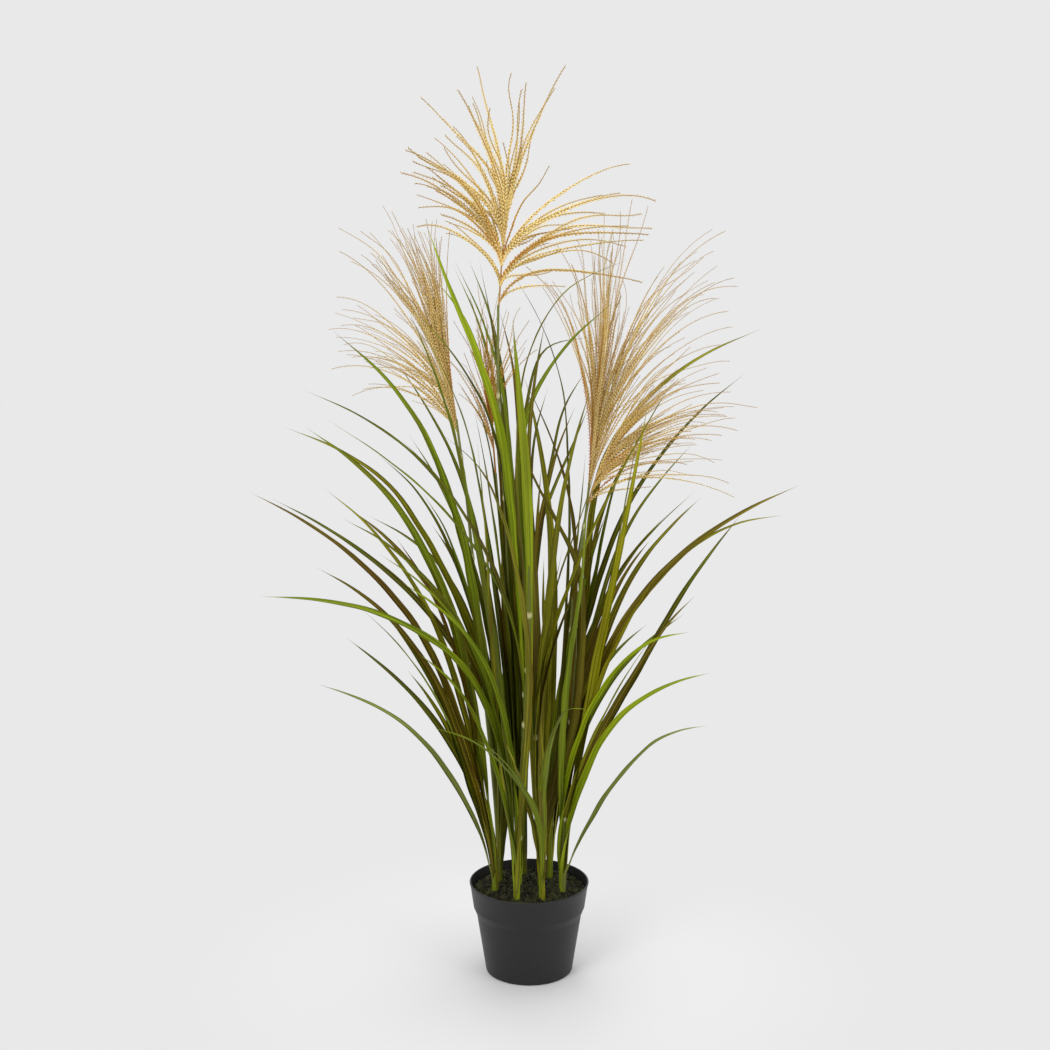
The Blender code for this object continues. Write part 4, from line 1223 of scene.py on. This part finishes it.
def branchTree():
    inputs = dict(
        Runs="Geometry", Spikelet="Object", Spacing="Float", Tilt="Float", Seed="Int", Finish="Material",
    )
    tree, desk = newTree("seed_branches", inputs, "Branches")
    given = desk.add("NodeGroupInput", out="Runs")
    read = {
        name: desk.add("GeometryNodeInputNamedAttribute", dict(data_type="FLOAT"), {"Name": name})
        for name in ("husk", "thread", "twist")
    }
    curves = desk.add("GeometryNodeMeshToCurve", {}, {"Mesh": given})
    even = desk.add(
        "GeometryNodeResampleCurve", dict(mode="LENGTH"), {"Curve": curves, "Length": given.also("Spacing")}
    )
    points = desk.add("GeometryNodeCurveToPoints", dict(mode="EVALUATED"), {"Curve": even}, out="Points")
    index = desk.add("GeometryNodeInputIndex")
    seed = given.also("Seed")
    jitter, grown = (
        desk.add("FunctionNodeRandomValue", dict(data_type="FLOAT"), {2: low, 3: high, "Seed": key}, out=1)
        for low, high, key in ((-0.30, 0.30, seed), (0.82, 1.15, seed + 7))
    )
    side = (index % 2.0) * math.pi + read["twist"] + jitter
    spin = desk.add("ShaderNodeCombineXYZ", {}, {2: side})
    lean = desk.add("ShaderNodeCombineXYZ", {}, {1: given.also("Tilt") * (1.0 + jitter)})
    turned = points.also("Rotation")
    for step in (spin, lean):
        turn = desk.add("FunctionNodeEulerToRotation", {}, {0: step})
        turned = desk.add("FunctionNodeRotateRotation", dict(rotation_space="LOCAL"), {0: turned, 1: turn})
    husk = desk.add("GeometryNodeObjectInfo", {}, {"Object": given.also("Spikelet")}, out="Geometry")
    placed = desk.add(
        "GeometryNodeInstanceOnPoints", {},
        {
            "Points": points, "Instance": husk, "Rotation": turned, "Scale": grown * read["husk"],
            "Selection": desk.maths("GREATER_THAN", read["husk"], 0.2),
        },
    )
    profile = desk.add(
        "GeometryNodeCurvePrimitiveCircle", dict(mode="RADIUS"),
        {"Resolution": plume["threadSides"], "Radius": 1.0},
    )
    thread = desk.add(
        "GeometryNodeCurveToMesh", {},
        {"Curve": curves, "Profile Curve": profile, "Scale": read["thread"], "Fill Caps": True},
    )
    together = desk.add("GeometryNodeJoinGeometry")
    join = together.socket.node.inputs[0]
    for part in (thread, placed):
        tree.links.new(part.socket, join)
    finishTree(desk, together, given.also("Finish"), "Branches")
    return tree


def runsMesh(runs, values):  # each run of points as a line of edges
    mesh = bpy.data.meshes.new("runs")
    count = len(runs[0])
    edges = [(place, place + 1) for place in range(count * len(runs)) if (place + 1) % count]
    mesh.from_pydata(np.vstack(runs), edges, [])
    giveValues(mesh, values)
    return mesh


def plumeMaterial():
    material, desk = newMaterial("plume")
    share, warm, grain = desk.value("share"), desk.value("warm"), desk.value("grain")
    fleck = desk.noise(desk.here(), 900, 2)
    colour = desk.blend(warm, plume["cream"], plume["golden"])
    heart = desk.step(warm * (1.2 - share) + 0.3 * (fleck - 0.5), 0.40, 0.95)
    colour = desk.blend(heart * 0.85, colour, plume["amber"])
    colour = desk.blend(desk.step(share, 0.6, 1.0) * 0.6, colour, plume["tip"])
    # painted shade: each husk's inner side near its foot, where it tucks against the thread, is darkened
    paintedInnerShade = 1 - desk.step(grain, 0.10, 0.42)
    colour = desk.blend(paintedInnerShade * 0.72, colour, plume["fleck"])
    return finishMaterial(material, desk, {
        "Base Color": colour,
        "Roughness": 0.62 + 0.2 * fleck,
        "Specular IOR Level": 0.06,
        "Normal": desk.bump(fleck, 0.3, 0.0002),
    })


plumeFinish = plumeMaterial()
branching = branchTree()
plumeNames = sorted(name for name in nodes if name.startswith("plume_"))
for order, name in enumerate(plumeNames):
    plan = plume[name.replace("plume_", "")]
    spread = np.random.default_rng(40 + order)
    stem, branches = longerStem(*readPlume(name), name, plan["below"])
    runs, grown = allBranches(stem, branches, plan, spread)
    warmth = np.clip(plan["warm"] + spread.normal(0, plume["warmthSpread"], len(runs)), 0, 1)
    share = np.linspace(0, 1, plume["branchPoints"])
    foot = plan["foot"]
    fade = (1 - 0.50 * smoothStep(0.35, 1, share)) * (foot + (1 - foot) * smoothStep(0, 0.2, share))
    husks = [size * fade for size in grown]
    threads = [plume["thread"] * plan["width"] * size * fade for size in grown]
    runs.append(evenly(stem, len(share)))         # the stem is the last run
    husks.append(smoothStep(*plume["stemBare"], share))
    threads.append(np.linspace(*plume["stemRadii"], len(share)))
    values = {
        "share": np.tile(share, len(runs)),
        "husk": np.concatenate(husks),
        "thread": np.concatenate(threads),
        "warm": np.repeat(np.append(warmth, plan["warm"]), len(share)),
        "twist": np.repeat(spread.uniform(0, math.pi, len(runs)), len(share)),
    }
    spikelet = bpy.data.objects.new("spikelet", spikeletMesh(plan["width"], plan["length"]))
    inputs = {
        "Spikelet": spikelet, "Spacing": plan["spacing"], "Tilt": math.radians(plan["tilt"]),
        "Seed": order, "Finish": plumeFinish,
    }
    feather = name.replace("plume", "feather")
    mesh = grownMesh(feather, runsMesh(runs, values), branching, inputs)
    mesh.shade_smooth()
    addPiece(feather, mesh, plumeFinish, "plume", [name])
    bpy.data.objects.remove(spikelet)
    print(name, "has", len(branches), "branches read,", len(runs), "in all,", len(mesh.polygons), "faces")


# Sizes, and the end

boxes = {"cad": cadBox, "visual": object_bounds()}
{name: [list(map(float, corner)) for corner in box] for name, box in boxes.items()}
